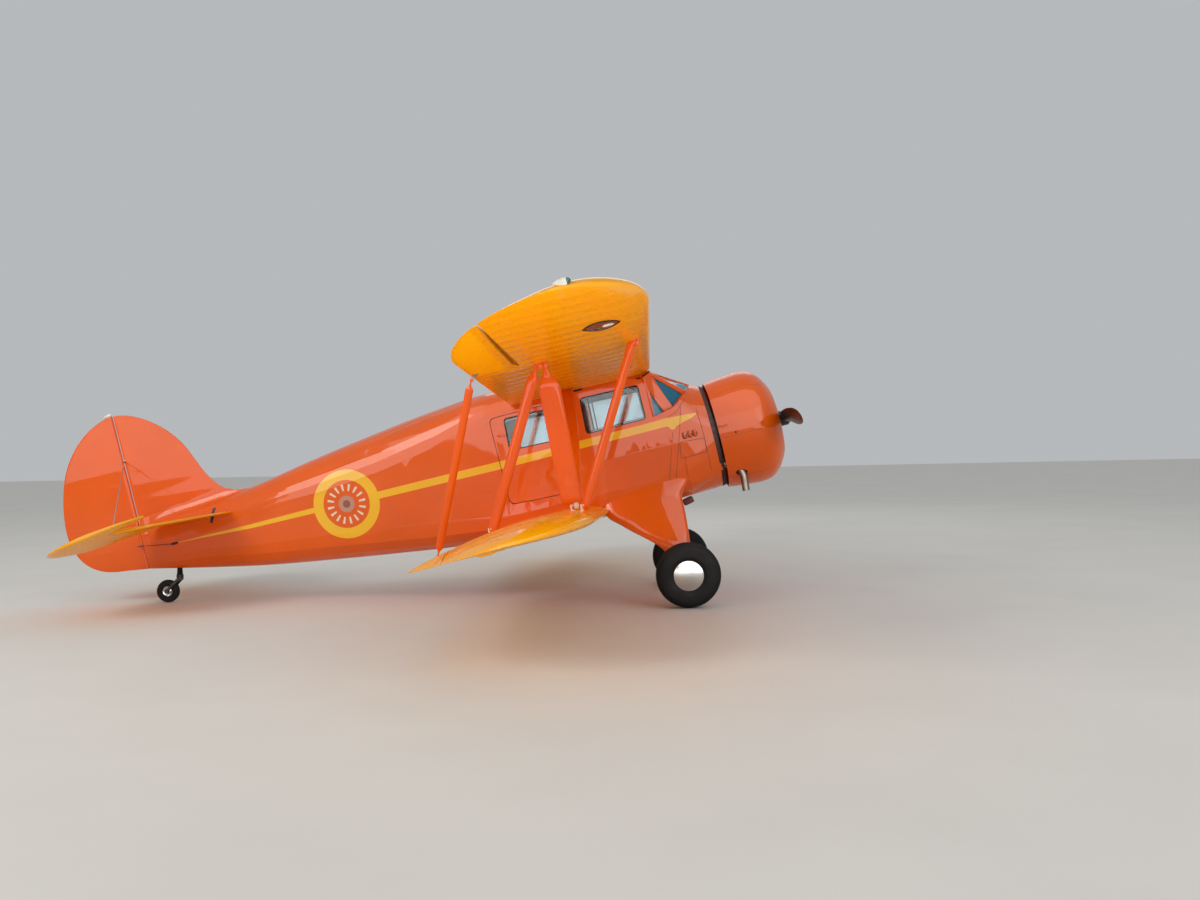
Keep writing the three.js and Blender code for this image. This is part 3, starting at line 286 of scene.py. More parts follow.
for key, name, colour, *finish in (
        ("bright", "polished_metal", "c6c6c3", 0.2, 0.06, None, 0.86),
        ("dark_steel", "dark_steel", "4a4846", 0.45, 0.1, (80, 80, 80), 0.6),
        ("steel", "worn_steel", "8e8a84", 0.38, 0.12, (60, 60, 400), 0.6),
        ("grey_metal", "cast_metal", "75787c", 0.5, 0.1, (200, 200, 200), 0.7),
        ("heated", "heated_steel", "8a7c72", 0.34, 0.1, (30, 30, 260), 0.55)):
    keep(key, metal(name, srgb(colour), *finish))


def plastic(name, colour, rough, grain=120.0, strength=0.2, coat=0.0, vary=0.75):
    s = Shade(name, rough, coat=coat)
    s.set("Base Color", s.mottled(colour, vary, 1.15, 12.0))
    s.uneven(rough, 0.08, 30.0)
    s.bump(s.noise(grain, 3.0), strength, 0.001)
    return s


for key, name, colour, *finish in (
        ("black", "black_enamel", "15161a", 0.35),
        # The reflector's near-white is a painted highlight
        ("reflector", "lamp_reflector", "f3f0e6", 0.18, 60.0, 0.05, 0.6, 0.92),
        # The dark material is the colour of dark fittings and also painted shade in openings and under the louvres
        ("blade", "blade_enamel", "08090a", 0.34, 40.0, 0.1, 0.1), ("dark", "shadow_gap", "1a1310", 0.8),
        ("trim", "rubber_trim", "1b1a19", 0.6), ("lining", "cabin_lining", "9a8f80", 0.9, 300.0, 0.4),
        # The shaded cloth colour is painted shade for the inside of the aileron slot
        ("seam", "seam_line", "6e2408", 0.6), ("well", "shaded_cloth", "9a5c06", 0.6),
        # The cowl_gap colour is painted shadow for the gap behind the cowl
        ("fine_seam", "fine_seam", "a03a0c", 0.5), ("gap", "cowl_gap", "33100a", 0.7),
        ("crackle", "crackle_enamel", "1b1c1f", 0.55, 420.0, 0.6), ("piping", "seat_piping", "5a3520", 0.6, 260.0, 0.3),
        ("white", "lamp_body", "e6e2d8", 0.35, 60.0, 0.05), ("cream", "dial_marks", "e8dfc6", 0.5, 60.0, 0.05)):
    keep(key, plastic(name, srgb(colour), *finish))

rubber = Shade("tyre_rubber", 0.72, spec=0.2)
dusty = rubber.mix(rubber.range(rubber.noise(7.0, 6.0, 0.7), 0.45, 0.8, 0.0, 0.35), srgb("131314"), srgb("3a3631"))
rubber.set("Base Color", dusty)
rubber.uneven(0.7, 0.12, 14.0)
rubber.bump(rubber.noise(180.0, 4.0), 0.3, 0.001)
keep("rubber", rubber)

leather = Shade("seat_leather", 0.5, spec=0.45)
hide = leather.mottled(srgb("74492a"), 0.7, 1.15, 9.0)
leather.set("Base Color", hide)
cells = leather.node("ShaderNodeTexVoronoi")
cells.inputs["Scale"].default_value = 260.0
leather.feed(cells.inputs["Vector"], leather.place)
leather.bump(cells.outputs["Distance"], 0.35, 0.0008)
leather.bump(leather.noise(18.0, 4.0), 0.25, 0.004)
leather.uneven(0.5, 0.1, 20.0)
keep("leather", leather)


def glassy(name, tint, clear):
    s = Shade(name, 0.03, spec=0.6)
    s.set("Base Color", s.mottled(tint, 0.93, 1.02, 2.0))
    s.set("Transmission Weight", clear)
    s.set("IOR", 1.45)
    s.set("Roughness", s.range(s.noise(9.0, 4.0), 0.3, 0.8, 0.02, 0.07))
    return s


for key, name, tint, clear in (
        ("glass", "clear_pane", "dfeef2", 1.0), ("screen_glass", "tinted_pane", "2aa2c6", 0.6),
        # The brown tint of the landing light's cover is painted shade inside the lamp
        ("smoked", "smoked_cover", "6b4a3c", 0.2), ("lens", "teal_lens", "3f8d92", 0.7),
        ("red_lens", "red_lens", "a3281e", 0.7)):
    keep(key, glassy(name, srgb(tint), clear))


# Meshes
def smooth_mesh(mesh, crease):
    mesh.shade_smooth()
    mesh.set_sharp_from_angle(angle=math.radians(crease))


def piece(name, shape, material, body="airframe", crease=35, replaces=(), merge=0.01):
    """A named piece from a shape's points and faces."""
    points, faces = shape
    bm = bmesh.new()
    verts = [bm.verts.new(p) for p in np.asarray(points, float).reshape(-1, 3)]
    for face in faces:
        if len(set(face)) > 2:
            try:
                bm.faces.new([verts[i] for i in face])
            except ValueError:
                pass
    bmesh.ops.remove_doubles(bm, verts=bm.verts, dist=merge)
    bmesh.ops.dissolve_degenerate(bm, edges=bm.edges, dist=merge / 10)
    return placed(name, bm, material, body, crease, replaces)


def placed(name, bm, material, body, crease, replaces):
    mesh = bpy.data.meshes.new(name)
    loose = [v for v in bm.verts if not v.link_faces]
    bmesh.ops.delete(bm, geom=loose, context="VERTS")
    bmesh.ops.recalc_face_normals(bm, faces=bm.faces)
    bm.transform(Matrix([[*(TURN[i] / 1000), HUB[i] / 1000] for i in range(3)] + [[0, 0, 0, 1]]))
    bm.to_mesh(mesh)
    bm.free()
    smooth_mesh(mesh, crease)
    return shown(name, mesh, material, body, replaces)


def shown(name, mesh, material, body, replaces):
    made = add(name, mesh)
    mesh.materials.clear()
    mesh.materials.append(MATERIALS[material])
    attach(made, body)
    if replaces:
        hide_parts(*replaces)
    return made


def grid_faces(count, around):
    faces = []
    for i in range(count - 1):
        for j in range(around):
            k = (j + 1) % around
            faces.append((i * around + j, i * around + k, (i + 1) * around + k, (i + 1) * around + j))
    return faces


def wound(points):
    """A skin over rings, of which the last meets the first."""
    count, around = points.shape[:2]
    faces, last = grid_faces(count, around), (count - 1) * around
    faces += [(last + j, last + (j + 1) % around, (j + 1) % around, j) for j in range(around)]
    return points.reshape(-1, 3), faces


def loft(rings, caps=True):
    """Points and faces of a closed skin over rings of equally many points."""
    around = len(rings[0])
    points = np.concatenate([np.asarray(r, float) for r in rings])
    faces = grid_faces(len(rings), around)
    if caps:
        for ring, start, flip in ((rings[0], 0, 1), (rings[-1], (len(rings) - 1) * around, -1)):
            points = np.concatenate([points, [np.mean(ring, 0)]])
            faces += [(len(points) - 1, *(start + j, start + (j + 1) % around)[::flip]) for j in range(around)]
    return points, faces


def joined(parts):
    points, faces, start = [], [], 0
    for more, own_faces in parts:
        points.append(np.asarray(more, float).reshape(-1, 3))
        faces += [tuple(i + start for i in face) for face in own_faces]
        start += len(points[-1])
    return np.concatenate(points), faces


def mirrored(shape, side):
    return np.asarray(shape[0], float) * [1, side, 1], shape[1]


def turned(profile, middle, axis, count=48, caps=True):
    """Points and faces of a turned form: profile rows are (place along the axis, radius)."""
    axis = np.asarray(axis, float) / np.linalg.norm(axis)
    first = np.cross(axis, [0.0, 0.0, 1.0] if abs(axis[2]) < 0.9 else [1.0, 0.0, 0.0])
    first /= np.linalg.norm(first)
    second = np.cross(axis, first)
    angles = full_turn(count)
    spokes = np.cos(angles)[:, None] * first + np.sin(angles)[:, None] * second
    return loft([np.asarray(middle, float) + axis * place + spokes * radius for place, radius in profile], caps)


def tube(path, radius, count=14):
    """A round bar along a path, one radius or one for each point."""
    path = np.asarray(path, float)
    radii = np.broadcast_to(radius, len(path))
    ahead = np.gradient(path, axis=0)
    ahead /= np.linalg.norm(ahead, axis=1)[:, None]
    guide = np.array([0.0, 0.0, 1.0]) if abs(ahead[0][2]) < 0.9 else np.array([1.0, 0.0, 0.0])
    angles = full_turn(count)
    rings = []
    for middle, along, r in zip(path, ahead, radii):
        first = np.cross(along, guide)
        first /= np.linalg.norm(first)
        second = np.cross(along, first)
        guide = np.cross(first, along)
        rings.append(middle + r * (np.cos(angles)[:, None] * first + np.sin(angles)[:, None] * second))
    return loft(rings)


def eased(rows, x):
    """Smooth values between the rows of a table, without overshoot."""
    rows = np.asarray(rows, float)
    order = np.argsort(rows[:, 0])
    rows = rows[order]
    xs, ys = rows[:, 0], rows[:, 1:]
    gaps = np.diff(xs)
    slopes = np.diff(ys, axis=0) / gaps[:, None]
    tangents = np.zeros_like(ys)
    same = slopes[1:] * slopes[:-1] > 0
    means = 2 * slopes[1:] * slopes[:-1] / np.where(same, slopes[1:] + slopes[:-1], 1)
    tangents[1:-1] = np.where(same, means, 0)
    tangents[0], tangents[-1] = slopes[0], slopes[-1]
    x = np.atleast_1d(np.asarray(x, float))
    k = np.clip(np.searchsorted(xs, x) - 1, 0, len(xs) - 2)
    h = gaps[k][:, None]
    t = clamp((x - xs[k]) / gaps[k])[:, None]
    return (ys[k] * (1 + 2 * t) * (1 - t) ** 2 + tangents[k] * h * t * (1 - t) ** 2
            + ys[k + 1] * t * t * (3 - 2 * t) + tangents[k + 1] * h * t * t * (t - 1))


# Fuselage: the same stations as the frame, curved along the length and creased at the stringers
STATIONS = np.array([
    [-720, -525, -2, 2, 525, 525, 2, 2],
    [-835, -535, -60, 60, 582, 538, 2.1, 2.1],
    [-1215, -548, -250, 480, 880, 572, 2.6, 2.6],
    [-1500, -550, -280, 700, 950, 580, 2.7, 2.7],
    [-1800, -548, -280, 745, 985, 580, 2.7, 2.6],
    [-2300, -535, -280, 745, 1015, 580, 2.7, 2.4],
    [-2930, -505, -270, 745, 1015, 562, 2.6, 2.3],
    [-3500, -478, -190, 600, 980, 518, 2.5, 2.1],
    [-4200, -390, -90, 490, 898, 440, 2.4, 2],
    [-4900, -285, 0, 440, 798, 352, 2.3, 2],
    [-5600, -170, 80, 420, 682, 254, 2.2, 2],
    [-6200, -45, 170, 430, 625, 164, 2.2, 2],
    [-6862, 105, 240, 470, 598, 46, 2.2, 2],
], float)


def half_ring(station, fine):
    x, bottom, low, high, top, half, under, over = station
    a = np.linspace(0, math.pi / 2, 4 * fine + 1)
    b = np.linspace(0, math.pi / 2, 7 * fine + 1)
    ys = [half * np.sin(a) ** (2 / under), half * np.abs(np.cos(b)) ** (2 / over)]
    zs = [low - (low - bottom) * np.abs(np.cos(a)) ** (2 / under), high + (top - high) * np.sin(b) ** (2 / over)]
    return np.stack([np.concatenate(ys), np.concatenate(zs)], 1)


def section_at(x, fine, curved):
    """Half sections at each x: shape (n, points, 2)."""
    rings = np.stack([half_ring(s, fine) for s in STATIONS])
    table = np.concatenate([STATIONS[:, :1], rings.reshape(len(rings), -1)], 1)[::-1]
    if curved:
        return eased(table, x).reshape(len(x), -1, 2)
    flat = np.stack([np.interp(x, table[:, 0], table[:, i]) for i in range(1, table.shape[1])], 1)
    return flat.reshape(len(x), -1, 2)


def ray_reach(rings, centre, direction):
    """How far each ray from (0, centre) goes to its half section."""
    a = rings[:, :-1] - np.stack([np.zeros_like(centre), centre], 1)[:, None]
    b = rings[:, 1:] - np.stack([np.zeros_like(centre), centre], 1)[:, None]
    d = direction[:, None]
    ca = d[..., 0] * a[..., 1] - d[..., 1] * a[..., 0]
    cb = d[..., 0] * b[..., 1] - d[..., 1] * b[..., 0]
    ahead = ((a + b) * d).sum(-1) > 0
    hit = (ca * cb <= 1e-9) & ahead
    k = np.argmax(hit, 1)
    i = np.arange(len(k))
    share = clamp(ca[i, k] / np.where(ca[i, k] == cb[i, k], 1, ca[i, k] - cb[i, k]))
    point = a[i, k] + (b[i, k] - a[i, k]) * share[:, None]
    return np.where(hit.any(1), (point * direction).sum(1), 0)


CREASE = [(-6200, 450), (-4900, 430), (-4200, 385), (-3500, 320), (-2930, 245), (-2300, 40), (-2200, 25), (-700, 25)]


def crease_z(x):
    return np.interp(x, *zip(*CREASE))


def tuck(x, z):
    """The side leans in below its main crease."""
    below = crease_z(x) - z
    lean = np.clip(below * 0.07, 0, 21) * clamp((z + 530) / 250)
    rear = clamp((-2300 - x) / 600)
    fade = clamp((z - np.interp(x, [-5600, -2930], [60, -420])) / 220)
    lean = lean * (1 - rear) + rear * np.clip(below * 0.07, 0, 24) * fade
    return lean * clamp((x + 6400) / 600) * clamp((-900 - x) / 250)


def reshape(points, fine=1):
    """Moves points of the faceted hull, and all that lies in its wall, to the curved one."""
    points = points.copy()
    x = np.clip(points[:, 0], STATIONS[-1, 0], STATIONS[0, 0])
    middle = np.interp(x, STATIONS[::-1, 0], ((STATIONS[:, 2] + STATIONS[:, 3]) / 2)[::-1])
    ray = np.stack([np.abs(points[:, 1]), points[:, 2] - middle], 1)
    length = np.maximum(np.linalg.norm(ray, axis=1), 1e-6)
    direction = ray / length[:, None]
    before = ray_reach(section_at(x, 1, False), middle, direction)
    after = ray_reach(section_at(x, fine, True), middle, direction)
    shift = np.where((length > 60) & (before > 0) & (after > 0), np.clip(after - before, -30, 30), 0)
    side = np.where(points[:, 1] < 0, -1, 1)
    inwards = tuck(x, points[:, 2]) * clamp((np.abs(points[:, 1]) - 250) / 200)
    points[:, 1] += side * (direction[:, 0] * shift - inwards)
    points[:, 2] += direction[:, 1] * shift
    return points


def skin(x, z, side=1, lift=0.0):
    """A point on the outside of the hull's side."""
    ring = section_at(np.array([float(x)]), 6 if x > -1100 else 1, True)[0]
    y = np.interp(z, ring[:, 1], ring[:, 0]) - tuck(np.array([x]), np.array([z]))[0]
    return np.array([x, side * (y + lift), z])


CABIN_REAR, CABIN_FRONT = -2930, -1100


def lined(mesh):
    """Gives the faces that look into the cabin their lining."""
    middles = own([f.center for f in mesh.polygons])
    normals = np.array([f.normal for f in mesh.polygons]) @ TURN
    x, y, z = middles.T
    heart = np.where(np.abs(x - (CABIN_REAR + CABIN_FRONT) / 2) < 905, 200.0, 250.0)
    ray = np.stack([np.abs(y), z - heart], 1)
    length = np.maximum(np.linalg.norm(ray, axis=1), 1e-6)
    direction = ray / length[:, None]
    reach = ray_reach(section_at(np.clip(x, STATIONS[-1, 0], STATIONS[0, 0]), 1, True), heart, direction)
    outwards = np.abs(normals[:, 1]) * np.sign(y) * np.sign(normals[:, 1])
    facing = outwards * direction[:, 0] + normals[:, 2] * direction[:, 1]
    inwards = (facing < -0.35) & (length < reach - 9) & (x > CABIN_REAR - 5) & (x < CABIN_FRONT + 5)
    near_end = (np.abs(x - CABIN_REAR) < 4) | (np.abs(x - CABIN_FRONT) < 4)
    ends = (np.abs(normals[:, 0]) > 0.8) & near_end & (length < reach - 30)
    mesh.materials.append(MATERIALS["lining"])
    for face, yes in zip(mesh.polygons, inwards | ends):
        if yes:
            face.material_index = 1


def refined(node, material, body="airframe", step=60, fine=1, crease=9.0, spokes=0):
    """A curved copy of one hull node, which stands for it."""
    bm = bmesh.new()
    bm.from_mesh(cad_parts[node].data)
    co = own([v.co for v in bm.verts])
    for vert, place in zip(bm.verts, co):
        vert.co = place
    bmesh.ops.remove_doubles(bm, verts=bm.verts, dist=0.01)
    low, high = co.min(0), co.max(0)
    cuts = [((x, 0, 0), (1, 0, 0)) for x in np.arange(math.ceil(low[0] / step) * step, high[0], step)]
    cuts += [((0, 0, z), (0, 0, 1)) for z in (-275.0,) if low[2] < z < high[2]]
    for (a, b), (c, d) in zip(CREASE, CREASE[1:]):
        if low[0] < c and high[0] > a:
            cuts += [((a, 0, b), (b - d, 0, c - a)), ((c, 0, 0), (1, 0, 0))]
    cuts += [((0, 0, 60), (0, math.cos(a), math.sin(a))) for a in np.linspace(0, math.pi, spokes, endpoint=False)]
    for place, normal in cuts:
        bmesh.ops.bisect_plane(bm, geom=bm.verts[:] + bm.edges[:] + bm.faces[:], dist=0.01, plane_co=place,
                               plane_no=normal)
    bmesh.ops.triangulate(bm, faces=bm.faces)
    new = reshape(np.array([v.co for v in bm.verts]), fine)
    for vert, place in zip(bm.verts, new):
        vert.co = place
    lined(placed(f"{node}_skin", bm, material, body, crease, (node,)).data)


refined("nose_section", "marked_sheet", step=40, fine=6, crease=30, spokes=60)
refined("cabin_floor", "marked_cloth", crease=3.0)
refined("cabin_roof", "orange_cloth")
refined("rear_fuselage", "marked_cloth", crease=2.2)
for _, name in SIDES:
    refined(f"cabin_side_{name}", "marked_cloth", crease=3.0)
    refined(f"door_{name}", "marked_cloth", f"door_{name}", crease=3.0)


# Wings
CHORD = 1440.0
PANELS = {
    "upper": dict(half=5067.0, root=592.0, x=-1205.0, z=830.0, dihedral=3.45, pitch=1.2, front=1066.0, rear=1456.0,
                  hinge=0.775, start=2850.0),
    "lower": dict(half=4306.0, root=520.0, x=-1953.0, z=-462.0, dihedral=2.35, pitch=2.0, front=850.0, rear=960.0,
                  hinge=0.745, start=2450.0),
}
TIP_MEETS, TIP_POWER = 0.4, 1.8
RIB_PITCH = 213.0
TIP_GAP, MORE_ROOT_GAP = 29, 31


def section(place):
    place = np.asarray(place, float)
    thickness, camber, crest, behind = 0.117, 0.034, 0.42, 0.58
    half = 5 * thickness * (0.2969 * np.sqrt(place) - 0.126 * place - 0.3516 * place ** 2
                            + 0.2843 * place ** 3 - 0.1015 * place ** 4)
    fore = place < crest
    reach = np.where(fore, crest, behind)
    mean = camber / reach ** 2 * (np.where(fore, 0, 1 - 2 * crest) + 2 * crest * place - place ** 2)
    return mean, half


def tip_edges(panel, span):
    front = max(0.0, (span - panel["half"] + panel["front"]) / panel["front"])
    rear = max(0.0, (span - panel["half"] + panel["rear"]) / panel["rear"])
    lead = (TIP_MEETS - 0.01) * (1 - math.sqrt(max(0.0, 1 - front ** 2)))
    trail = 1 - (1 - TIP_MEETS - 0.02) * (1 - max(0.0, 1 - rear ** TIP_POWER) ** (1 / TIP_POWER))
    return lead, trail


def wing_point(panel, span, along, over):
    pitch = math.radians(panel["pitch"])
    along, over = np.asarray(along, float), np.asarray(over, float)
    x = panel["x"] - along * math.cos(pitch) - over * math.sin(pitch)
    z = panel["z"] - along * math.sin(pitch) + over * math.cos(pitch)
    z = z + (span - panel["root"]) * math.tan(math.radians(panel["dihedral"]))
    return np.stack(np.broadcast_arrays(x, float(span), z), -1)


def wing_surface(panel, span, along, upper):
    """Points of the cloth: it is proud at each rib's tape and sags between the ribs."""
    lead, trail = tip_edges(panel, span)
    chord = max(1.0, (trail - lead) * CHORD)
    place = clamp((np.asarray(along, float) - lead * CHORD) / chord)
    mean, half = section(place)
    bay = ((span - panel["root"]) / RIB_PITCH) % 1.0
    sag = math.sin(math.pi * bay) ** 2 * clamp((place - 0.1) / 0.2) * clamp((1 - place) / 0.12)
    taped = 0.6 * min(1.0, max(0.0, 30 - min(bay, 1 - bay) * RIB_PITCH) / 16)
    skin_shift = (taped * clamp((1 - place) / 0.03) - 2.6 * sag) * min(1.0, chord / CHORD)
    over = mean * chord + (half * chord + skin_shift) * (1 if upper else -1)
    return wing_point(panel, span, along, over)


def wing_spans(panel, start, end):
    ribs = np.arange(panel["root"], panel["half"], RIB_PITCH)
    marks = np.concatenate([ribs + d for d in (-30, -22, -14, 14, 22, 30, 53, 80, 106, 133, 160)])
    tip = panel["half"] - panel["rear"] * (1 - np.array([0.86, 0.9, 0.93, 0.955, 0.972, 0.984, 0.992, 0.997, 0.9995]))
    spans = np.unique(np.round(np.concatenate([[start, end], marks, tip]), 1))
    return spans[(spans >= start) & (spans <= end)]


def wing_ring(panel, span, rear):
    lead, trail = tip_edges(panel, span)
    a, b = lead * CHORD, min(trail * CHORD, rear)
    b = max(b, a + 0.5)
    steps = 0.5 * (1 - np.cos(np.linspace(0, math.pi, 34)))
    share = steps ** 1.15
    along = a + (b - a) * share
    lower = wing_surface(panel, span, along[::-1], False)
    upper = wing_surface(panel, span, along[1:], True)
    return np.concatenate([lower, upper])


def aileron_end(panel):
    hinge = panel["hinge"] * CHORD
    return max(s for s in np.arange(panel["start"], panel["half"], 2.0) if tip_edges(panel, s)[1] * CHORD > hinge + 6)


def build_wing(key, side, name):
    """The aileron gap is a slot that narrows towards the tip. A dark strip set inside the slot is painted shade."""
    panel = PANELS[key]
    hinge = panel["hinge"] * CHORD
    cut = panel["start"] - 6
    inner = [wing_ring(panel, s, 9999) for s in wing_spans(panel, panel["root"] + 0.3, cut)]
    spans = wing_spans(panel, cut, panel["half"] - 0.4)
    end = aileron_end(panel)
    gaps = TIP_GAP + MORE_ROOT_GAP * clamp((end - spans) / (end - cut)) ** 0.7
    outer = [wing_ring(panel, s, hinge - gap) for s, gap in zip(spans, gaps)]
    shape = joined([loft(inner), loft(outer)])
    piece(f"{key}_wing_{name}_cloth", mirrored(shape, side), "yellow_cloth", crease=28,
          replaces=(f"{key}_wing_{name}",), merge=0.005)
    # Painted shade: a dark cloth strip inside the aileron slot
    slot_shade_bars = []
    for span in np.linspace(cut + 1, panel["half"] - 330, 60):
        lead, trail = tip_edges(panel, span)
        chord = (trail - lead) * CHORD
        if trail * CHORD < hinge:
            continue
        mean, half = section((np.array([hinge - 60, hinge - 31]) - lead * CHORD) / chord)
        low = wing_point(panel, span, [hinge - 60, hinge - 31], (mean - half) * chord + 7)
        high = wing_point(panel, span, [hinge - 31, hinge - 60], (mean[::-1] + half[::-1]) * chord - 7)
        slot_shade_bars.append(np.concatenate([low, high]))
    piece(f"aileron_well_{key}_{name}", mirrored(loft(slot_shade_bars), side), "well", crease=40)


for key in PANELS:
    for side, name in SIDES:
        build_wing(key, side, name)


def build_aileron(key, side, name):
    """Corrugated sheet from the hinge to the trailing edge, with a rounded nose."""
    panel = PANELS[key]
    hinge = panel["hinge"] * CHORD
    end = aileron_end(panel)
    rings = []
    for span in np.arange(panel["start"], end, 5.0):
        lead, trail = (edge * CHORD for edge in tip_edges(panel, span))
        chord = trail - lead
        along = np.linspace(hinge, trail, 11)
        ripple = 2.2 * math.cos(2 * math.pi * span / 40.0)
        bead = ripple * clamp((along - hinge - 25) / 30) * clamp((trail - along) / 30)
        mean, half = section(clamp((along - lead) / chord))
        upper = wing_point(panel, span, along, mean * chord + half * chord + bead)
        lower = wing_point(panel, span, along, mean * chord - half * chord - bead)
        arc = np.linspace(-math.pi / 2, math.pi / 2, 9)[1:-1]
        nose = wing_point(panel, span, hinge - 19 * np.cos(arc), mean[0] * chord + half[0] * chord * np.sin(arc))
        rings.append(np.concatenate([lower[::-1], nose, upper[1:]]))
    name = f"aileron_{key}_{name}"
    piece(name + "_sheet", mirrored(loft(rings), side), "yellow_cloth", name, crease=30, replaces=(name,), merge=0.005)


def polyline(points, steps):
    """A smooth curve through points."""
    p = np.asarray(points, float)
    wrapped = np.concatenate([2 * p[:1] - p[1:2], p, 2 * p[-1:] - p[-2:-1]])
    t = np.linspace(0, 1, steps, endpoint=False)[:, None]
    out = []
    for a, b, c, d in zip(wrapped, wrapped[1:], wrapped[2:], wrapped[3:]):
        square, cube = 2 * a - 5 * b + 4 * c - d, 3 * b - 3 * c + d - a
        out.append(0.5 * (2 * b + (c - a) * t + square * t ** 2 + cube * t ** 3))
    return np.concatenate(out + [p[-1:]])


def bezier(a, b, c, d):
    t = np.linspace(0, 1, 24)[:, None]
    a, b, c, d = (np.asarray(v, float) for v in (a, b, c, d))
    return a * (1 - t) ** 3 + 3 * b * t * (1 - t) ** 2 + 3 * c * t ** 2 * (1 - t) + d * t ** 3


# Struts with a streamlined section and pinched ends
def strut_form(low, high, chord, thick, ends=((0.035, 0.11, 0.42), (0.035, 0.11, 0.42))):
    """ends give, for the foot and the top, where the taper starts and is done, and the smallest share of the chord."""
    low, high = np.asarray(low, float), np.asarray(high, float)
    along = high - low
    length = np.linalg.norm(along)
    across = np.array([1.0, 0, 0]) - along * along[0] / length ** 2
    across /= np.linalg.norm(across)
    flat = np.cross(along / length, across)
    angles = full_turn(28)
    shares = np.concatenate([np.linspace(a, b, 9) for a, b, _ in ends])
    shares[9:] = 1 - shares[9:]
    rings = []
    for share in np.unique(np.round(np.concatenate([shares, np.linspace(0, 1, 9)]), 5)):
        size = 1.0
        for place, (start, full, least) in ((share, ends[0]), (1 - share, ends[1])):
            t = clamp((place - start) / (full - start))
            size = min(size, least + (1 - least) * t * t * (3 - 2 * t))
        wide = chord * size / 2 * np.cos(angles)
        deep = thick * max(size, 0.5) / 2 * np.sin(angles) * (1 + 0.22 * np.cos(angles))
        rings.append(low + along * share + wide[:, None] * across + deep[:, None] * flat)
    return loft(rings)


def rise(panel, y):
    return panel["z"] + (y - panel["root"]) * math.tan(math.radians(panel["dihedral"]))


STRUTS = [
    ("strut_front", -2082, 2645, -1314, 2765, 72, 40, ((0.012, 0.06, 0.3), (0.02, 0.07, 0.3))),
    ("strut_diagonal", -2150, 2645, -2072, 2765, 172, 46, ((0.085, 0.094, 0.12), (0.09, 0.2, 0.2))),
    ("strut_rear", -2850, 2645, -2106, 2765, 86, 40, ((0.012, 0.06, 0.3), (0.07, 0.14, 0.28))),
    ("wing_brace", -2105, 2540, -2055, 680, 130, 44, ((0.01, 0.62, 0.3), (0.005, 0.04, 0.6))),
]
def strut_ends(low_x, low_y, high_x, high_y):
    return (np.array([low_x, low_y, rise(PANELS["lower"], low_y) + 40]),
            np.array([high_x, high_y, rise(PANELS["upper"], high_y) + 20]))


for key, *corners, chord, thick, ends in STRUTS:
    low, high = strut_ends(*corners)
    for side, name in SIDES:
        shape = strut_form(low, high, chord, thick, ends)
        piece(f"{key}_{name}_form", mirrored(shape, side), "orange", crease=50, replaces=(f"{key}_{name}",))

PLATE = 9.0
LINK_SPAN = {"upper": 2970, "lower": 2620}
PINS = {key: wing_point(PANELS[key], LINK_SPAN[key], share * CHORD, over)
        for key, share, over in (("upper", 1.0, -36), ("lower", 0.94, 48))}


def build_lug_and_link(side, name):
    for key, foot_share in (("upper", 0.96), ("lower", 0.94)):
        foot = wing_point(PANELS[key], LINK_SPAN[key] - PLATE / 2, foot_share * CHORD, 6)
        pin = PINS[key]
        shape = [(pin[0] - 14, pin[2]), (pin[0] + 14, pin[2]), (foot[0] + 22, foot[2]), (foot[0] - 22, foot[2])]
        plate = loft([[(x, pin[1] - d, z) for x, z in shape] for d in (0, PLATE)])
        boss = turned([(0, 14), (PLATE, 14)], (pin[0], pin[1] - PLATE, pin[2]), (0, 1, 0), 24)
        piece(f"lug_{key}_{name}", mirrored(joined([plate, boss]), side), "steel", f"aileron_{key}_{name}", crease=40)
    top = PINS["upper"] + [0, 1.6 + PLATE / 2, 0]
    foot = PINS["lower"] + [0, 4 + PLATE / 2, 0]
    line = (top - foot) / np.linalg.norm(top - foot)
    out = np.array([0, 12.0, 0])
    parts = [strut_form(foot + line * 40 + out, top - line * 40 + out, 62, 26,
                        ((0.004, 0.03, 0.3), (0.004, 0.03, 0.3)))]
    for end, inwards in ((top, -60), (foot, 60)):
        parts.append(turned([(-PLATE / 2, 14), (PLATE / 2, 14)], end, (0, 1, 0), 24))
        parts.append(tube([end + [0, 5, 0], end + line * inwards + [0, 14, 0]], 6, 16))
    shape = joined(parts)
    piece(f"aileron_link_{name}_form", mirrored(shape, side), "orange", f"aileron_link_{name}", crease=50,
          replaces=(f"aileron_link_{name}",))


for side, name in SIDES:
    for key in PANELS:
        build_aileron(key, side, name)
    build_lug_and_link(side, name)


# Tail surfaces: cloth over ribs, as scan lines across an outline
def spans_of(outline, s):
    """Where the scan line at s enters and leaves an outline of (a, s) points."""
    p = np.asarray(outline, float)
    q = np.roll(p, -1, 0)
    crosses = (p[:, 1] - s) * (q[:, 1] - s) < 0
    t = (s - p[crosses, 1]) / (q[crosses, 1] - p[crosses, 1])
    hits = p[crosses, 0] + t * (q[crosses, 0] - p[crosses, 0])
    return (hits.min(), hits.max()) if len(hits) > 1 else None


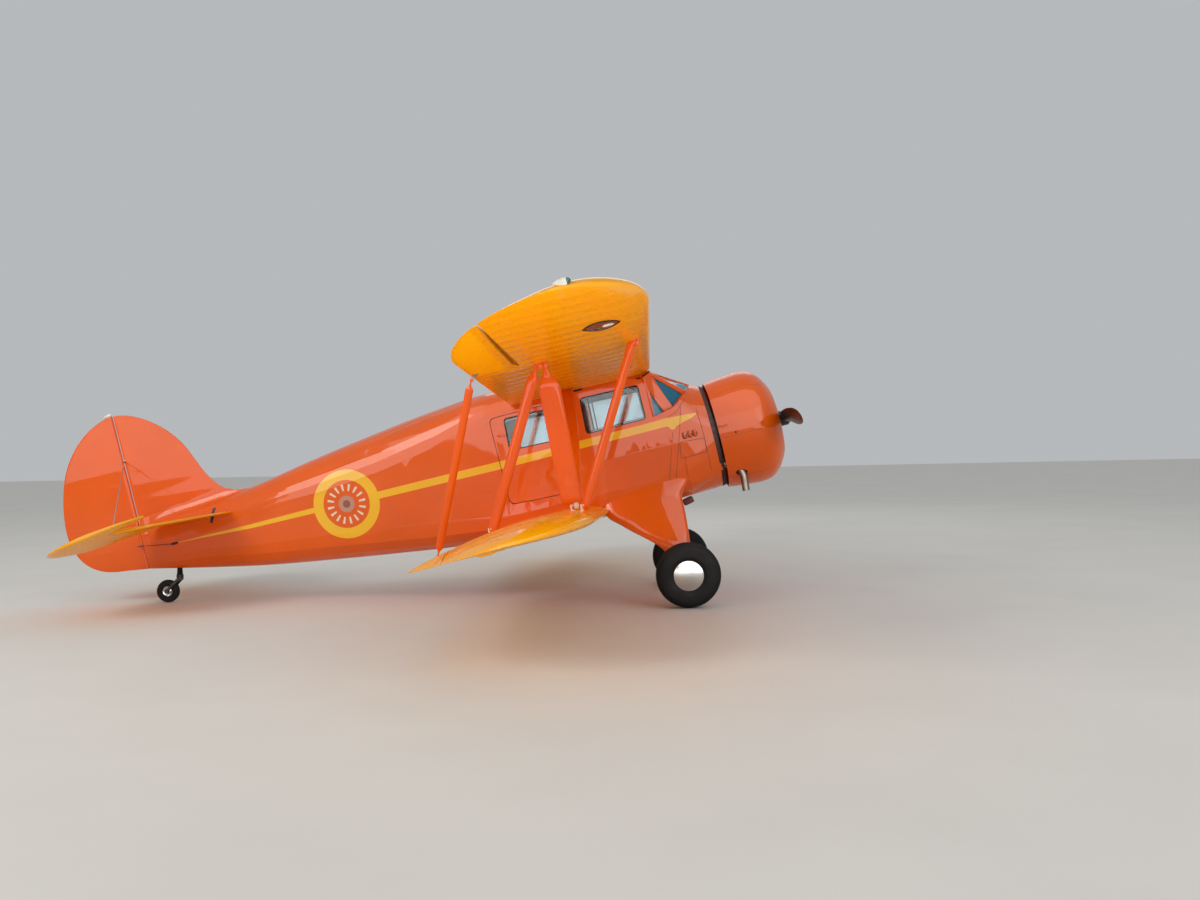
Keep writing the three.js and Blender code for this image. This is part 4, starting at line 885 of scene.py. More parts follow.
def scan_form(outline, stations, thick, edge, to_own, rib_pitch=None, corrugated=None):
    """thick is the half thickness at the hinge line a=0, edge that of the far edge."""
    rings = []
    low, high = np.min(np.asarray(outline)[:, 1]), np.max(np.asarray(outline)[:, 1])
    for s in stations:
        found = spans_of(outline, s)
        if not found:
            continue
        a, b = found
        x = a + (b - a) * 0.5 * (1 - np.cos(np.linspace(0, math.pi, 30)))
        reach = max(abs(a), abs(b), 300)
        body = edge + (thick - edge) * clamp(1 - np.abs(x) / reach) ** 0.8
        near = np.minimum(x - a, b - x)
        end = min(s - low, high - s)
        body = body * math.sqrt(max(0.0, 1 - (1 - min(1.0, max(end, 0) / edge)) ** 2))
        rounding = np.sqrt(clamp(1 - (1 - clamp(near / np.maximum(body, 1))) ** 2))
        if corrugated:
            wave = 1.8 * math.cos(2 * math.pi * s / corrugated) * clamp((near - 20) / 25)
        else:
            wave = -0.6 * math.sin(math.pi * s / rib_pitch) ** 2 * clamp((near - 15) / 80)
        h = np.maximum(body * rounding + wave, 0.2)
        rings.append(np.concatenate([to_own(x[::-1], s, -h[::-1]), to_own(x[1:], s, h[1:])]))
    return loft(rings)


def hull_top(x, y):
    half = section_at(np.array([float(x)]), 1, True)[0]
    crown = half[len(half) // 3:]
    crown = crown[np.argsort(crown[:, 0])]
    return float(np.interp(abs(y), crown[:, 0], crown[:, 1]))


RUDDER_X = -6895.0
fin_outline = np.concatenate([
    [(34, 480), (34, 1780)], bezier((34, 1780), (255, 1775), (565, 1560), (705, 1290)),
    bezier((705, 1290), (805, 1090), (835, 900), (1015, 742)),
    [(1180, hull_top(RUDDER_X + 1180, 0) + 14), (1335, hull_top(RUDDER_X + 1335, 0) - 12), (1335, 480)]])
rudder_outline = np.concatenate([
    [(22, 108), (22, 1782)], bezier((22, 1782), (-285, 1755), (-555, 1500), (-665, 1200)),
    bezier((-665, 1200), (-745, 980), (-795, 700), (-745, 520)),
    bezier((-745, 520), (-675, 240), (-455, 165), (-255, 150))])


def upright(x, s, h):
    return np.stack(np.broadcast_arrays(x + RUDDER_X, h, float(s)), -1)


def stations(low, high, step):
    ends = np.array([0.3, 1, 2, 4, 7, 11, 16])
    return np.unique(np.round(np.concatenate([low + ends, np.arange(low + 20, high - 20, step), high - ends]), 2))


shape = scan_form(fin_outline, stations(480, 1780, 16), 22, 10, upright, 200)
piece("fin_cloth", shape, "orange_cloth", crease=40, replaces=("fin",), merge=0.005)
shape = scan_form(rudder_outline, stations(108, 1782, 16), 22, 9, upright, 200)
piece("rudder_cloth", shape, "orange_cloth", "rudder", crease=40, replaces=("rudder",), merge=0.005)

ELEVATOR_AXIS, TAILPLANE_TILT, ELEVATOR_TILT = (-6622.0, 532.0), 3.9, -9.6
HORN_Y = 1262.0
tailplane_outline = np.concatenate([[(34, 40), (830, 40), (828, 230)],
                                    bezier((828, 230), (800, 600), (680, 1000), (430, HORN_Y - 8)), [(34, HORN_Y - 8)]])
elevator_outline = np.concatenate([
    [(22, 116), (22, HORN_Y), (418, HORN_Y)], bezier((418, HORN_Y), (330, 1440), (120, 1640), (-150, 1640)),
    bezier((-150, 1640), (-420, 1640), (-560, 1430), (-585, 1150)),
    bezier((-585, 1150), (-610, 850), (-600, 650), (-560, 470)),
    [(-60, 116)]])


def lying(tilt, side):
    angle = math.radians(tilt)

    def to_own(x, s, h):
        return np.stack(np.broadcast_arrays(
            ELEVATOR_AXIS[0] + x * math.cos(angle) + h * math.sin(angle), side * float(s),
            ELEVATOR_AXIS[1] - x * math.sin(angle) + h * math.cos(angle)), -1)
    return to_own


for side, name in SIDES:
    shape = scan_form(tailplane_outline, stations(40, HORN_Y - 8, 14), 21, 10, lying(TAILPLANE_TILT, side), 205)
    piece(f"tailplane_{name}_cloth", shape, "yellow_cloth", crease=40, replaces=(f"tailplane_{name}",), merge=0.005)
    shape = scan_form(elevator_outline, stations(116, 1640, 5), 21, 8, lying(ELEVATOR_TILT, side), corrugated=42.0)
    piece(f"elevator_{name}_sheet", shape, "yellow_cloth", "elevators", crease=40, replaces=(f"elevator_{name}",),
          merge=0.005)


# Cowl ring, cut for the exhaust
def closed_form(name, shape, merge):
    """An object of a closed shape, with its normals outwards."""
    mesh = bpy.data.meshes.new(name)
    mesh.from_pydata(row(shape[0]).tolist(), [], shape[1])
    bm = bmesh.new()
    bm.from_mesh(mesh)
    bmesh.ops.remove_doubles(bm, verts=bm.verts, dist=merge)
    bmesh.ops.recalc_face_normals(bm, faces=bm.faces)
    bm.to_mesh(mesh)
    bm.free()
    return add(name, mesh)


def applied(made):
    """The mesh of an object with its modifiers, which then go."""
    bpy.context.view_layer.update()
    done = bpy.data.meshes.new_from_object(made.evaluated_get(bpy.context.evaluated_depsgraph_get()))
    made.modifiers.clear()
    return done


def cut(target, shape, crease):
    """Cuts a closed shape out of a piece."""
    tool = closed_form("tool", shape, 1e-6)
    mod = target.modifiers.new("cut", "BOOLEAN")
    mod.operation, mod.solver, mod.object = "DIFFERENCE", "EXACT", tool
    target.data = applied(target)
    bpy.data.objects.remove(tool)
    smooth_mesh(target.data, crease)


cowl_outside = polyline([(-700, 556), (-640, 564), (-560, 574), (-420, 585), (-330, 587), (-230, 566), (-150, 506),
                         (-95, 430), (-62, 368), (-52, 330), (-64, 306)], 8)
cowl_inside = polyline([(-64, 306), (-90, 303), (-110, 330), (-140, 400), (-180, 480), (-240, 546), (-330, 575),
                        (-420, 573), (-560, 562), (-640, 552), (-700, 544)], 8)[1:]
profile = np.concatenate([cowl_outside, cowl_inside, cowl_outside[:1]])
shape = turned(profile, (0, 0, 0), (1, 0, 0), 144, caps=False)
cowl = piece("cowl_sheet", shape, "orange", crease=50, replaces=("cowl",))
STACK = np.array([(-719, -330, -300), (-628, -338, -330), (-556, -380, -430), (-566, -398, -612)], float)
hole_from = STACK[1] + 0.35 * (STACK[2] - STACK[1])
cut(cowl, tube([hole_from, STACK[2], STACK[3]], 51, 32), 50)

# Exhaust stack with an open end
bend = polyline(STACK, 10)
stack = piece("exhaust_pipe", tube(bend, 37, 32), "heated", crease=40, replaces=("exhaust_stack",))
bore = tube(np.concatenate([bend[-9:], [bend[-1] + (bend[-1] - bend[-2]) * 2]]), 33.5, 32)
cut(stack, bore, 40)

# Landing gear
LEG = np.array([[-230, -1190, -1900, 470, 90], [-350, -1118, -1985, 510, 104], [-500, -1216, -1990, 560, 116],
                [-650, -1222, -1850, 625, 120], [-980, -1257, -1510, 762, 96], [-1275, -1292, -1420, 772, 66]], float)
WHEEL = np.array([-1352.0, 924.0, -1230.0])
hull_rings = []
hull_x = np.linspace(-725, -2400, 60)
for x, half in zip(hull_x, section_at(hull_x, 1, True)):
    y = half[:, 0] - tuck(np.full(len(half), x), half[:, 1]) - 6
    ring = [(x, max(a, 0), b) for a, b in zip(y, half[:, 1])]
    hull_rings.append(ring + [(x, -a, b) for _, a, b in ring[-2:0:-1]])
hull_form = loft(hull_rings)


def leg_ring(z):
    front, rear, y, thick = eased(LEG, z)[0]
    t = full_turn(40)
    share = 0.5 * (1 - np.cos(t))
    deep = np.sin(t) * (1 - 0.45 * share) * 0.62 * thick
    return np.stack([front + (rear - front) * share, y + deep, np.full(40, z)], 1)


def tyre_rings(radius, width, rim, grooves):
    side, wall = width / 2, radius - rim
    outer = [(side * 0.62, rim), (side * 0.95, rim + wall * 0.22), (side, rim + wall * 0.5),
             (side * 0.9, rim + wall * 0.78), (side * 0.58, radius - wall * 0.05), (side * 0.2, radius)]
    half = polyline(outer, 7)
    rows = []
    for place, r in half:
        ridge = 1.2 * math.exp(-((r - rim - wall * 0.3) / (wall * 0.03)) ** 2) if place > side * 0.7 else 0
        rows.append((place + ridge, r))
    marks = []
    for g in grooves:
        for d, depth in ((4.5, 0), (3.2, 1), (-3.2, 1), (-4.5, 0)):
            marks.append((g + d, depth))
    tread = []
    for place, depth in sorted([m for m in marks if m[0] > 0], reverse=True):
        level = np.interp(place, [p for p, _ in rows[::-1]], [r for _, r in rows[::-1]])
        tread.append((place, level - 6 * depth * wall / 187))
    inner_limit = max([p for p, _ in tread] + [0])
    rows = [r for r in rows if r[0] > inner_limit + 0.5 or r[1] < radius - wall * 0.3] + tread
    return rows + [(-p, r) for p, r in rows[::-1]] + rows[:1]


for side, name in SIDES:
    shape = loft([leg_ring(z) for z in np.linspace(-235, -1275, 44)])
    leg = piece(f"gear_leg_{name}_fairing", mirrored(shape, side), "orange", crease=50, replaces=(f"gear_leg_{name}",))
    cut(leg, hull_form, 50)
    axle = turned([(-164, 25), (0, 25)], WHEEL, (0, 1, 0), 32)
    brake = turned([(-144, 96), (-140, 100), (-124, 100), (-118, 94)], WHEEL, (0, 1, 0), 48)
    piece(f"brake_plate_{name}", mirrored(joined([axle, brake]), side), "steel", crease=40)
    middle = WHEEL * [1, side, 1]
    shape = turned(tyre_rings(314, 218, 127, (70, 42, 14)), middle, (0, side, 0), 112, caps=False)
    piece(f"main_tyre_{name}_rubber", shape, "rubber", f"main_wheel_{name}", crease=40, replaces=(f"main_tyre_{name}",))
    dome = [(104 - 22 * (r / 147) ** 2, r) for r in np.linspace(0.5, 147, 18)]
    rim_rows = dome + [(78, 147.5), (76, 143), (60, 127), (-60, 127), (-80, 132), (-84, 120), (-112, 108), (-82, 104),
                       (-82, 26), (0.8, 26), (0.8, 0.5)]
    shape = turned(rim_rows, middle, (0, side, 0), 80)
    piece(f"main_hub_{name}_dome", shape, "bright", f"main_wheel_{name}", crease=30, replaces=(f"main_hub_{name}",))

TAIL_AXLE = np.array([-6743.0, 0, -170.0])
shape = turned(tyre_rings(120, 68, 55, (14, 0)), TAIL_AXLE, (0, 1, 0), 72, caps=False)
piece("tail_tyre_rubber", shape, "rubber", "tail_wheel", crease=40, replaces=("tail_tyre_wheel",))
half_hub = [(30.6, 8.9), (30.6, 22), (25, 27), (17, 40), (19, 50), (23, 54.6)]
hub_rows = half_hub + [(-p, r) for p, r in half_hub[::-1]] + half_hub[:1]
shape = turned(hub_rows, TAIL_AXLE, (0, 1, 0), 48, caps=False)
piece("tail_hub_dish", shape, "bright", "tail_wheel", crease=30, replaces=("tail_hub_wheel",))


# Propeller
BLADE = np.array([[60, 84, 78, 62], [150, 92, 66, 56], [260, 140, 46, 46], [450, 192, 32, 34], [700, 206, 22, 26],
                  [950, 188, 17, 21], [1110, 146, 13, 18], [1185, 96, 10, 17], [1219, 34, 6, 16]], float)
blade_parts = []
for side in (1, -1):
    rings = []
    for r in np.concatenate([np.linspace(60, 1150, 60), np.linspace(1160, 1219, 12)]):
        chord, thick, twist = eased(BLADE, r)[0]
        t = full_turn(36)
        wide = chord * np.cos(t) / 2
        flat = clamp((r - 200) / 250)
        deep = thick * np.sin(t) / 2 * np.where(np.sin(t) < 0, 1 - 0.6 * flat, 1) * (1 + 0.25 * flat * np.cos(t))
        lean = math.radians(twist)
        x = 22 + wide * math.sin(lean) + deep * math.cos(lean)
        z = wide * math.cos(lean) - deep * math.sin(lean)
        rings.append(np.stack([x, np.full(36, side * r), z * side], 1))
    blade_parts.append(loft(rings))
piece("propeller_blades", joined(blade_parts), "blade", "propeller", crease=50, replaces=("propeller",))
hub_rows = [(-61.7, 0.5), (-61.7, 58), (-30, 62), (-24, 74), (-20, 78), (62, 78), (67, 74), (70, 62), (84, 56),
            (100, 48), (106, 42), (110, 34), (110, 0.5)]
hub_parts = [turned(hub_rows, (0, 0, 0), (1, 0, 0), 64)]
for side in (1, -1):
    hub_parts.append(turned([(70, 52), (100, 52), (104, 56), (122, 56), (126, 50), (138, 49)], (22, 0, 0), (0, side, 0),
                            40))
for i in range(8):
    a = 2 * math.pi * (i + 0.5) / 8
    hub_parts.append(turned([(66, 6), (76, 6), (78, 4), (78, 0.5)], (0, 66 * math.cos(a), 66 * math.sin(a)), (1, 0, 0),
                            6))
piece("propeller_hub", joined(hub_parts), "blade", "propeller")


# Rounded lumps and ribbons for small fittings
def lump(centre, half, axes=None, power=0.45, n=10):
    """A rounded box about a centre, with half sizes along three axes."""
    axes = np.eye(3) if axes is None else np.asarray(axes, float)
    lat = np.linspace(-math.pi / 2, math.pi / 2, n)
    lon = full_turn(2 * n)

    def bent(v):
        return np.sign(v) * np.abs(v) ** power

    rings = []
    for a in lat[1:-1]:
        x = bent(np.cos(a)) * bent(np.cos(lon)) * half[0]
        y = bent(np.cos(a)) * bent(np.sin(lon)) * half[1]
        z = np.full(len(lon), bent(np.sin(a)) * half[2])
        rings.append(np.asarray(centre, float) + x[:, None] * axes[0] + y[:, None] * axes[1] + z[:, None] * axes[2])
    return loft(rings)


def ribbon(path, normals, width, lift, loop=False):
    """A thin raised strip along a path on a surface."""
    path, normals = np.asarray(path, float), np.asarray(normals, float)
    if loop:
        ahead = np.roll(path, -1, 0) - np.roll(path, 1, 0)
    else:
        ahead = np.gradient(path, axis=0)
    ahead /= np.linalg.norm(ahead, axis=1)[:, None]
    across = np.cross(normals, ahead)
    across /= np.linalg.norm(across, axis=1)[:, None]
    edge = [(-0.5, -1.0), (-0.5, 0.5), (-0.35, 1.0), (0.35, 1.0), (0.5, 0.5), (0.5, -1.0)]
    rings = [path + across * (width * a) + normals * (lift * b if b > 0 else -2.0) for a, b in edge]
    points = np.stack(rings, 1)
    return wound(points) if loop else loft(list(points))


def on_skin(places, side):
    """Path and outward normals for (x, z) places on the hull's side."""
    path = np.array([skin(x, z, side) for x, z in places])
    normals = []
    for x, z in places:
        a, b = skin(x + 8, z, side) - skin(x - 8, z, side), skin(x, z + 8, side) - skin(x, z - 8, side)
        n = np.cross(a, b)
        n *= side * np.sign(n[1]) if abs(n[1]) > 1e-9 else 1
        normals.append(n / np.linalg.norm(n))
    return path, np.array(normals)


def traced(corners, gap=14.0):
    """Evenly spaced places along straight runs between corners."""
    out = []
    for a, b in zip(corners, corners[1:]):
        a, b = np.asarray(a, float), np.asarray(b, float)
        n = max(2, int(np.linalg.norm(b - a) / gap))
        out += [a + (b - a) * i / n for i in range(n)]
    return np.array(out + [corners[-1]])


def rounded(corners, r, steps=6):
    """A closed polygon with rounded corners, as places."""
    out = []
    c = [np.asarray(p, float) for p in corners]
    for i, p in enumerate(c):
        a, b = c[i - 1] - p, c[(i + 1) % len(c)] - p
        enter, leave = p + a / np.linalg.norm(a) * r, p + b / np.linalg.norm(b) * r
        t = np.linspace(0, 1, steps)[:, None]
        out.append(enter * (1 - t) ** 2 + 2 * p * t * (1 - t) + leave * t ** 2)
    loop = np.concatenate(out)
    return traced(list(loop) + [loop[0]], 12.0)[:-1]


def strip(places, side, width, lift, loop=False):
    """A raised strip along places on the hull's side."""
    return ribbon(*on_skin(places, side), width, lift, loop)


def rivets(corners, gap, side):
    """Rivet heads at even gaps between corners on the hull's side."""
    radius, lift = 3.2, 1.4
    head = [(-1, radius), (lift * 0.6, radius), (lift, radius * 0.6), (lift, 0.3)]
    return [turned(head, p, n, 8) for p, n in zip(*on_skin(traced(corners, gap), side))]


FRONT_WINDOW = [(-1372, 336), (-1372, 682), (-1963, 694), (-1981, 336)]
DOOR_WINDOW = [(-2292, 350), (-2292, 672), (-2752, 686), (-2768, 366)]
for side, name in SIDES:
    for key, corners, body in (("front", FRONT_WINDOW, "airframe"), ("door", DOOR_WINDOW, f"door_{name}")):
        piece(f"window_trim_{key}_{name}", strip(rounded(corners, 36), side, 9, 2.4, True), "trim", body, crease=40)
    # Sliding pane rails and their upright inside the front window
    rail = [tube([skin(-1380, 352, side, -26), skin(-1970, 352, side, -26)], 6, 10),
            tube([skin(-1900, 345, side, -25), skin(-1888, 688, side, -25)], 8, 10),
            tube([skin(-1380, 674, side, -26), skin(-1955, 686, side, -26)], 6, 10)]
    piece(f"sliding_pane_rails_{name}", joined(rail), "trim", crease=50)
    # Door handle
    base = skin(-2838, 538, side)
    axes = [(0.96, 0, -0.28), (0, 1, 0), (0.28, 0, 0.96)]
    handle = [turned([(-2, 17), (4, 17), (7, 12), (16, 9), (16, 0.5)], base, (0, side, 0), 24),
              lump(base + [18, side * 19, -4], (42, 5, 8), axes)]
    piece(f"door_handle_{name}", joined(handle), "orange", f"door_{name}", crease=40)

    # Nose seams, access panel, rivets and louvres
    strips = []
    for corners in ([(-1148, 136), (-1172, 66), (-1277, -266), (-1318, -470)],
                    [(-1000, 392), (-1072, 150), (-1224, -314)],
                    [(-865, 540), (-957, 423), (-1064, 327), (-1160, 296)],
                    [(-858, 330), (-852, 0), (-862, -330)]):
        strips.append(strip(traced(corners), side, 4, 0.8))
    panel = rounded([(-1103, 24), (-853, 8), (-862, -132), (-1128, -136)], 14)
    strips.append(strip(panel, side, 5, 1.0, True))
    piece(f"nose_seams_{name}", joined(strips), "seam", crease=40)
    heads = []
    for corners, gap in (([(-1000, 380), (-1052, 140), (-1094, -70)], 46), ([(-745, 450), (-752, 0), (-745, -450)], 70),
                         ([(-1090, 8), (-868, -8)], 52), ([(-1112, -120), (-876, -116)], 52)):
        heads += rivets(corners, gap, side)
    piece(f"nose_rivets_{name}", joined(heads), "orange", crease=40)
    scoops, shade_rims = [], []
    for x in (-1039, -985, -933):
        at = skin(x, 86, side)
        axes = [(0.1, 0, 0.995), (0, 1, 0), (0.995, 0, -0.1)]
        scoops.append(lump(at + [0, side * 2, 0], (32, 11, 14), axes, 0.7, 12))
        # Painted shade: a dark strip round the lower half of each louvre's mouth
        around = [(x - 20, 112), (x - 20, 62), (x - 12, 50), (x, 46), (x + 12, 50), (x + 20, 62), (x + 20, 88)]
        shade_rims.append(strip(traced(around, 6), side, 8, 1.5))
    piece(f"louvres_{name}", joined(scoops), "orange", crease=60)
    piece(f"louvre_shade_rims_{name}", joined(shade_rims), "dark", crease=60)

    # Vents on the root fairing, cloth tapes along the stringers
    # The vents are dark lumps; their dark is painted shade in the openings
    shape = joined([lump(skin(-1966, 784, side, 2), (58, 7, 13), power=0.6),
                    lump(skin(-1357, 745, side, 2), (40, 6, 8), power=0.6)])
    piece(f"root_vents_{name}", shape, "dark", crease=50)
    tapes = []
    for corners in ([(-2990, 20), (-3600, 60), (-4300, 150)],
                    [(-2990, -270), (-3500, -190), (-4200, -90), (-4900, 0), (-5600, 80)],
                    [(-3520, 598), (-4200, 488), (-4900, 438), (-5600, 418)],
                    [(-1130, 24), (-2180, 24)]):
        tapes.append(strip(traced(corners, 40), side, 30, 0.7))
    piece(f"stringer_tapes_{name}", joined(tapes), "marked_cloth", crease=30)

    # Control cable fairlead and cable to the rudder horn; a black strip by the tailplane is painted shade for its spar
    # slot
    lead = skin(-6500, 303, side)
    shape = joined([lump(lead, (46, 12, 13), power=0.7),
                    tube([lead + [-30, side * 4, 0], (-6904, side * 73, 364)], 2.6, 8),
                    strip(traced([(-5975, 560), (-6036, 413)], 10), side, 34, 1.6)])
    piece(f"rudder_cable_{name}", shape, "black", crease=50)

# Rudder horn, trim tab and tail lamp
horn = []
for side in (1, -1):
    arm = np.array([-0.5, side * 0.866, 0.0])
    axes = [(0.866, side * 0.5, 0), arm, (0, 0, 1)]
    horn.append(lump(np.array([-6872.0, 0, 364]) + arm * 46, (11, 46, 6), axes, 0.5))
    horn.append(turned([(-5, 12), (5, 12)], (-6914, side * 73, 364), (0, 0, 1), 20))
piece("rudder_horn", joined(horn), "steel", "rudder", crease=45)
tab_strips = []
for side in (1, -1):
    outline = [(-7210, 610), (-7575, 690), (-7600, 430), (-7215, 372)]
    path = np.array([(x, side * (9 + 13 * max(0.0, 1 - abs(x - RUDDER_X) / 745) ** 0.8), z)
                     for x, z in traced(outline + outline[:1], 20)[:-1]])
    tab_strips.append(ribbon(path, np.tile([0, side, 0], (len(path), 1)), 6, 1.4, True))
piece("rudder_tab_edges", joined(tab_strips), "orange_cloth", "rudder", crease=40)
lamp_foot = np.array([-6915.0, 0, 1778])
shape = turned([(-58, 1), (-52, 9), (-34, 17), (-8, 22), (18, 21), (36, 15), (44, 6), (46, 0.5)],
               lamp_foot + [0, 0, 16], (1, 0, 0.12), 28)
piece("tail_lamp", shape, "white", "rudder", crease=50)

# Bracing wires between fin and tailplane
wires, ends = [], []
for side in (1, -1):
    top = np.array([-6852.0, side * 21, 1286])
    foot = lying(TAILPLANE_TILT, side)(42, 1180, 20)
    wires.append(tube([top, foot], 5.5, 10))
    ends += [lump(top, (20, 5, 11), power=0.6, n=8), lump(foot, (16, 8, 8), power=0.6, n=8)]
piece("tail_bracing_wires", joined(wires), "bright", crease=60)
piece("tail_wire_fittings", joined(ends), "steel", crease=60)

# Cowl rivets, seams and fasteners
cowl_bits = []


def cowl_path(turn, start, end):
    edge_rows = np.array([p for p in cowl_outside if start <= p[0] <= end])
    a = math.radians(turn)
    path = np.array([(x, r * math.cos(a), r * math.sin(a)) for x, r in edge_rows])
    slope = np.gradient(edge_rows, axis=0)
    normal = np.stack([-slope[:, 1], slope[:, 0] * math.cos(a), slope[:, 0] * math.sin(a)], 1)
    normal /= np.linalg.norm(normal, axis=1)[:, None]
    return path, normal


for x, count in ((-672, 36), (-165, 24)):
    r = np.interp(x, cowl_outside[:72, 0], cowl_outside[:72, 1])
    for i in range(count):
        a = 2 * math.pi * (i + 0.5) / count
        out = (0, math.cos(a), math.sin(a)) if x < -400 else (0.62, 0.78 * math.cos(a), 0.78 * math.sin(a))
        cowl_bits.append(turned([(-3, 5.5), (1.2, 5.5), (2.2, 3), (2.2, 0.4)], (x, r * math.cos(a), r * math.sin(a)),
                                out, 10))
piece("cowl_rivets", joined(cowl_bits), "orange", crease=45)
thin = []
for degrees in (-4, -52, 46, 134, 232, 184):
    path, normal = cowl_path(degrees, -695, -170)
    thin.append(ribbon(path, normal, 3, 0.6))
piece("cowl_seams", joined(thin), "fine_seam", crease=45)
dots = []
for side in (1, -1):
    for x, z in ((-540, -12), (-268, 16)):
        r = np.interp(x, [-560, -420, -330, -230], [574, 585, 587, 566])
        y = math.sqrt(r * r - z * z)
        dots.append(turned([(-4, 11), (2.4, 11), (3.4, 8), (3.4, 0.5)], (x, side * y, z), (0, side, z / r), 20))
piece("cowl_fasteners", joined(dots), "dark", crease=45)

# Painted shadow: a dark band round the nose behind the cowl, where the gap lies in shade
rings = []
for x in (-721.0, -730.0, -745.0, -762.0):
    half = section_at(np.array([x]), 6, True)[0]
    ring = np.concatenate([half, half[-2:0:-1] * [-1, 1]])
    middle_z = half[:, 1].mean()
    grow = 1 + (0.9 if x < -725 else 0.3) / 525
    rings.append([(x, y * grow, middle_z + (z - middle_z) * grow) for y, z in ring])
piece("cowl_gap_shadow_band", loft(rings, caps=False), "gap", crease=50)

# Engine behind the cowl opening
ENGINE_X, CYLINDERS = -330.0, 7
barrels, covers, rods, leads = [], [], [], []
barrel_rows = [(225, 96), (240, 96), (244, 70)]
for i in range(15):
    r = 250 + i * 11.0
    barrel_rows += [(r, 70), (r + 0.5, 93), (r + 3, 93), (r + 4, 70)]
for i in range(8):
    r = 420 + i * 12.5
    barrel_rows += [(r, 78), (r + 0.5, 104 - i * 2.5), (r + 4, 104 - i * 2.5), (r + 5, 78)]
barrel_rows += [(520, 70), (540, 44), (545, 0.5)]
for i in range(CYLINDERS):
    a = 2 * math.pi * i / CYLINDERS
    out, sideways = np.array([0, -math.sin(a), math.cos(a)]), np.array([0, math.cos(a), math.sin(a)])
    barrels.append(turned(barrel_rows, (ENGINE_X, 0, 0), out, 32))
    for s in (1, -1):
        head = np.array([ENGINE_X + 38, 0, 0]) + out * 516 + sideways * 52 * s
        covers.append(lump(head, (42, 24, 30), [(1, 0, 0), sideways, out], 0.5, 12))
        foot = np.array([-196.0, 0, 0]) + out * 214 + sideways * 34 * s
        rods.append(tube([foot, head + [24, 0, 0] - out * 26], 10.5, 16))
        rods.append(turned([(-8, 20), (14, 20), (20, 14)], foot, out, 20))
        plug = np.array([ENGINE_X + 72 * s * 0.4 + 50, 0, 0]) + out * 452 + sideways * 88 * s
        rods.append(turned([(-30, 9), (0, 9), (4, 12), (16, 12), (20, 7), (44, 7)], plug, sideways * s + out * 0.2, 12))
        start = np.array([-232.0, 0, 0]) + out * 236 + sideways * 26 * s
        leads.append(tube(polyline([start, start + out * 60 + [26, 0, 0], plug + sideways * s * 46 - out * 50,
                                    plug + sideways * s * 44], 8), 5.5, 8))
case = [(-719.7, 0.5), (-719.7, 250), (-560, 240), (-470, 225), (-420, 245), (-250, 245), (-236, 236), (-220, 205),
        (-200, 186), (-150, 132), (-120, 112), (-84, 98), (-72, 86), (-62.2, 72), (-62.2, 0.5)]
nuts = []
for radius, x, count in ((214, -222, 21), (104, -84, 10)):
    for i in range(count):
        a = 2 * math.pi * (i + 0.5) / count
        nuts.append(turned([(-4, 7), (9, 7), (11, 5), (11, 0.4)], (x, radius * math.cos(a), radius * math.sin(a)),
                           (1, 0, 0), 6))
ring_turn = np.linspace(0, 2 * math.pi, 97)[:-1]
harness = np.stack([np.full(96, -232.0), 236 * np.cos(ring_turn), 236 * np.sin(ring_turn)], 1)
carrier = turned([(-358, 538), (-358, 573), (-332, 573), (-332, 538), (-358, 538)], (0, 0, 0), (1, 0, 0), 120,
                 caps=False)
shape = joined([turned(case, (0, 0, 0), (1, 0, 0), 84), *barrels, carrier])
piece("engine_block", shape, "grey_metal", crease=30, replaces=("engine",))
piece("engine_rocker_covers", joined(covers), "black", crease=50)
piece("engine_pushrods", joined(rods + nuts), "steel", crease=40)
closed_ring = tube(np.concatenate([harness, harness[:2]]), 11, 14)
piece("engine_harness", joined([closed_ring, *leads]), "heated", crease=50)

# Oil scoop under the nose
shape = lump((-1150, -150, -585), (56, 46, 34), [(0.98, 0, 0.2), (0, 1, 0), (-0.2, 0, 0.98)], 0.35, 14)
piece("oil_cooler_scoop", shape, "seam", crease=50)

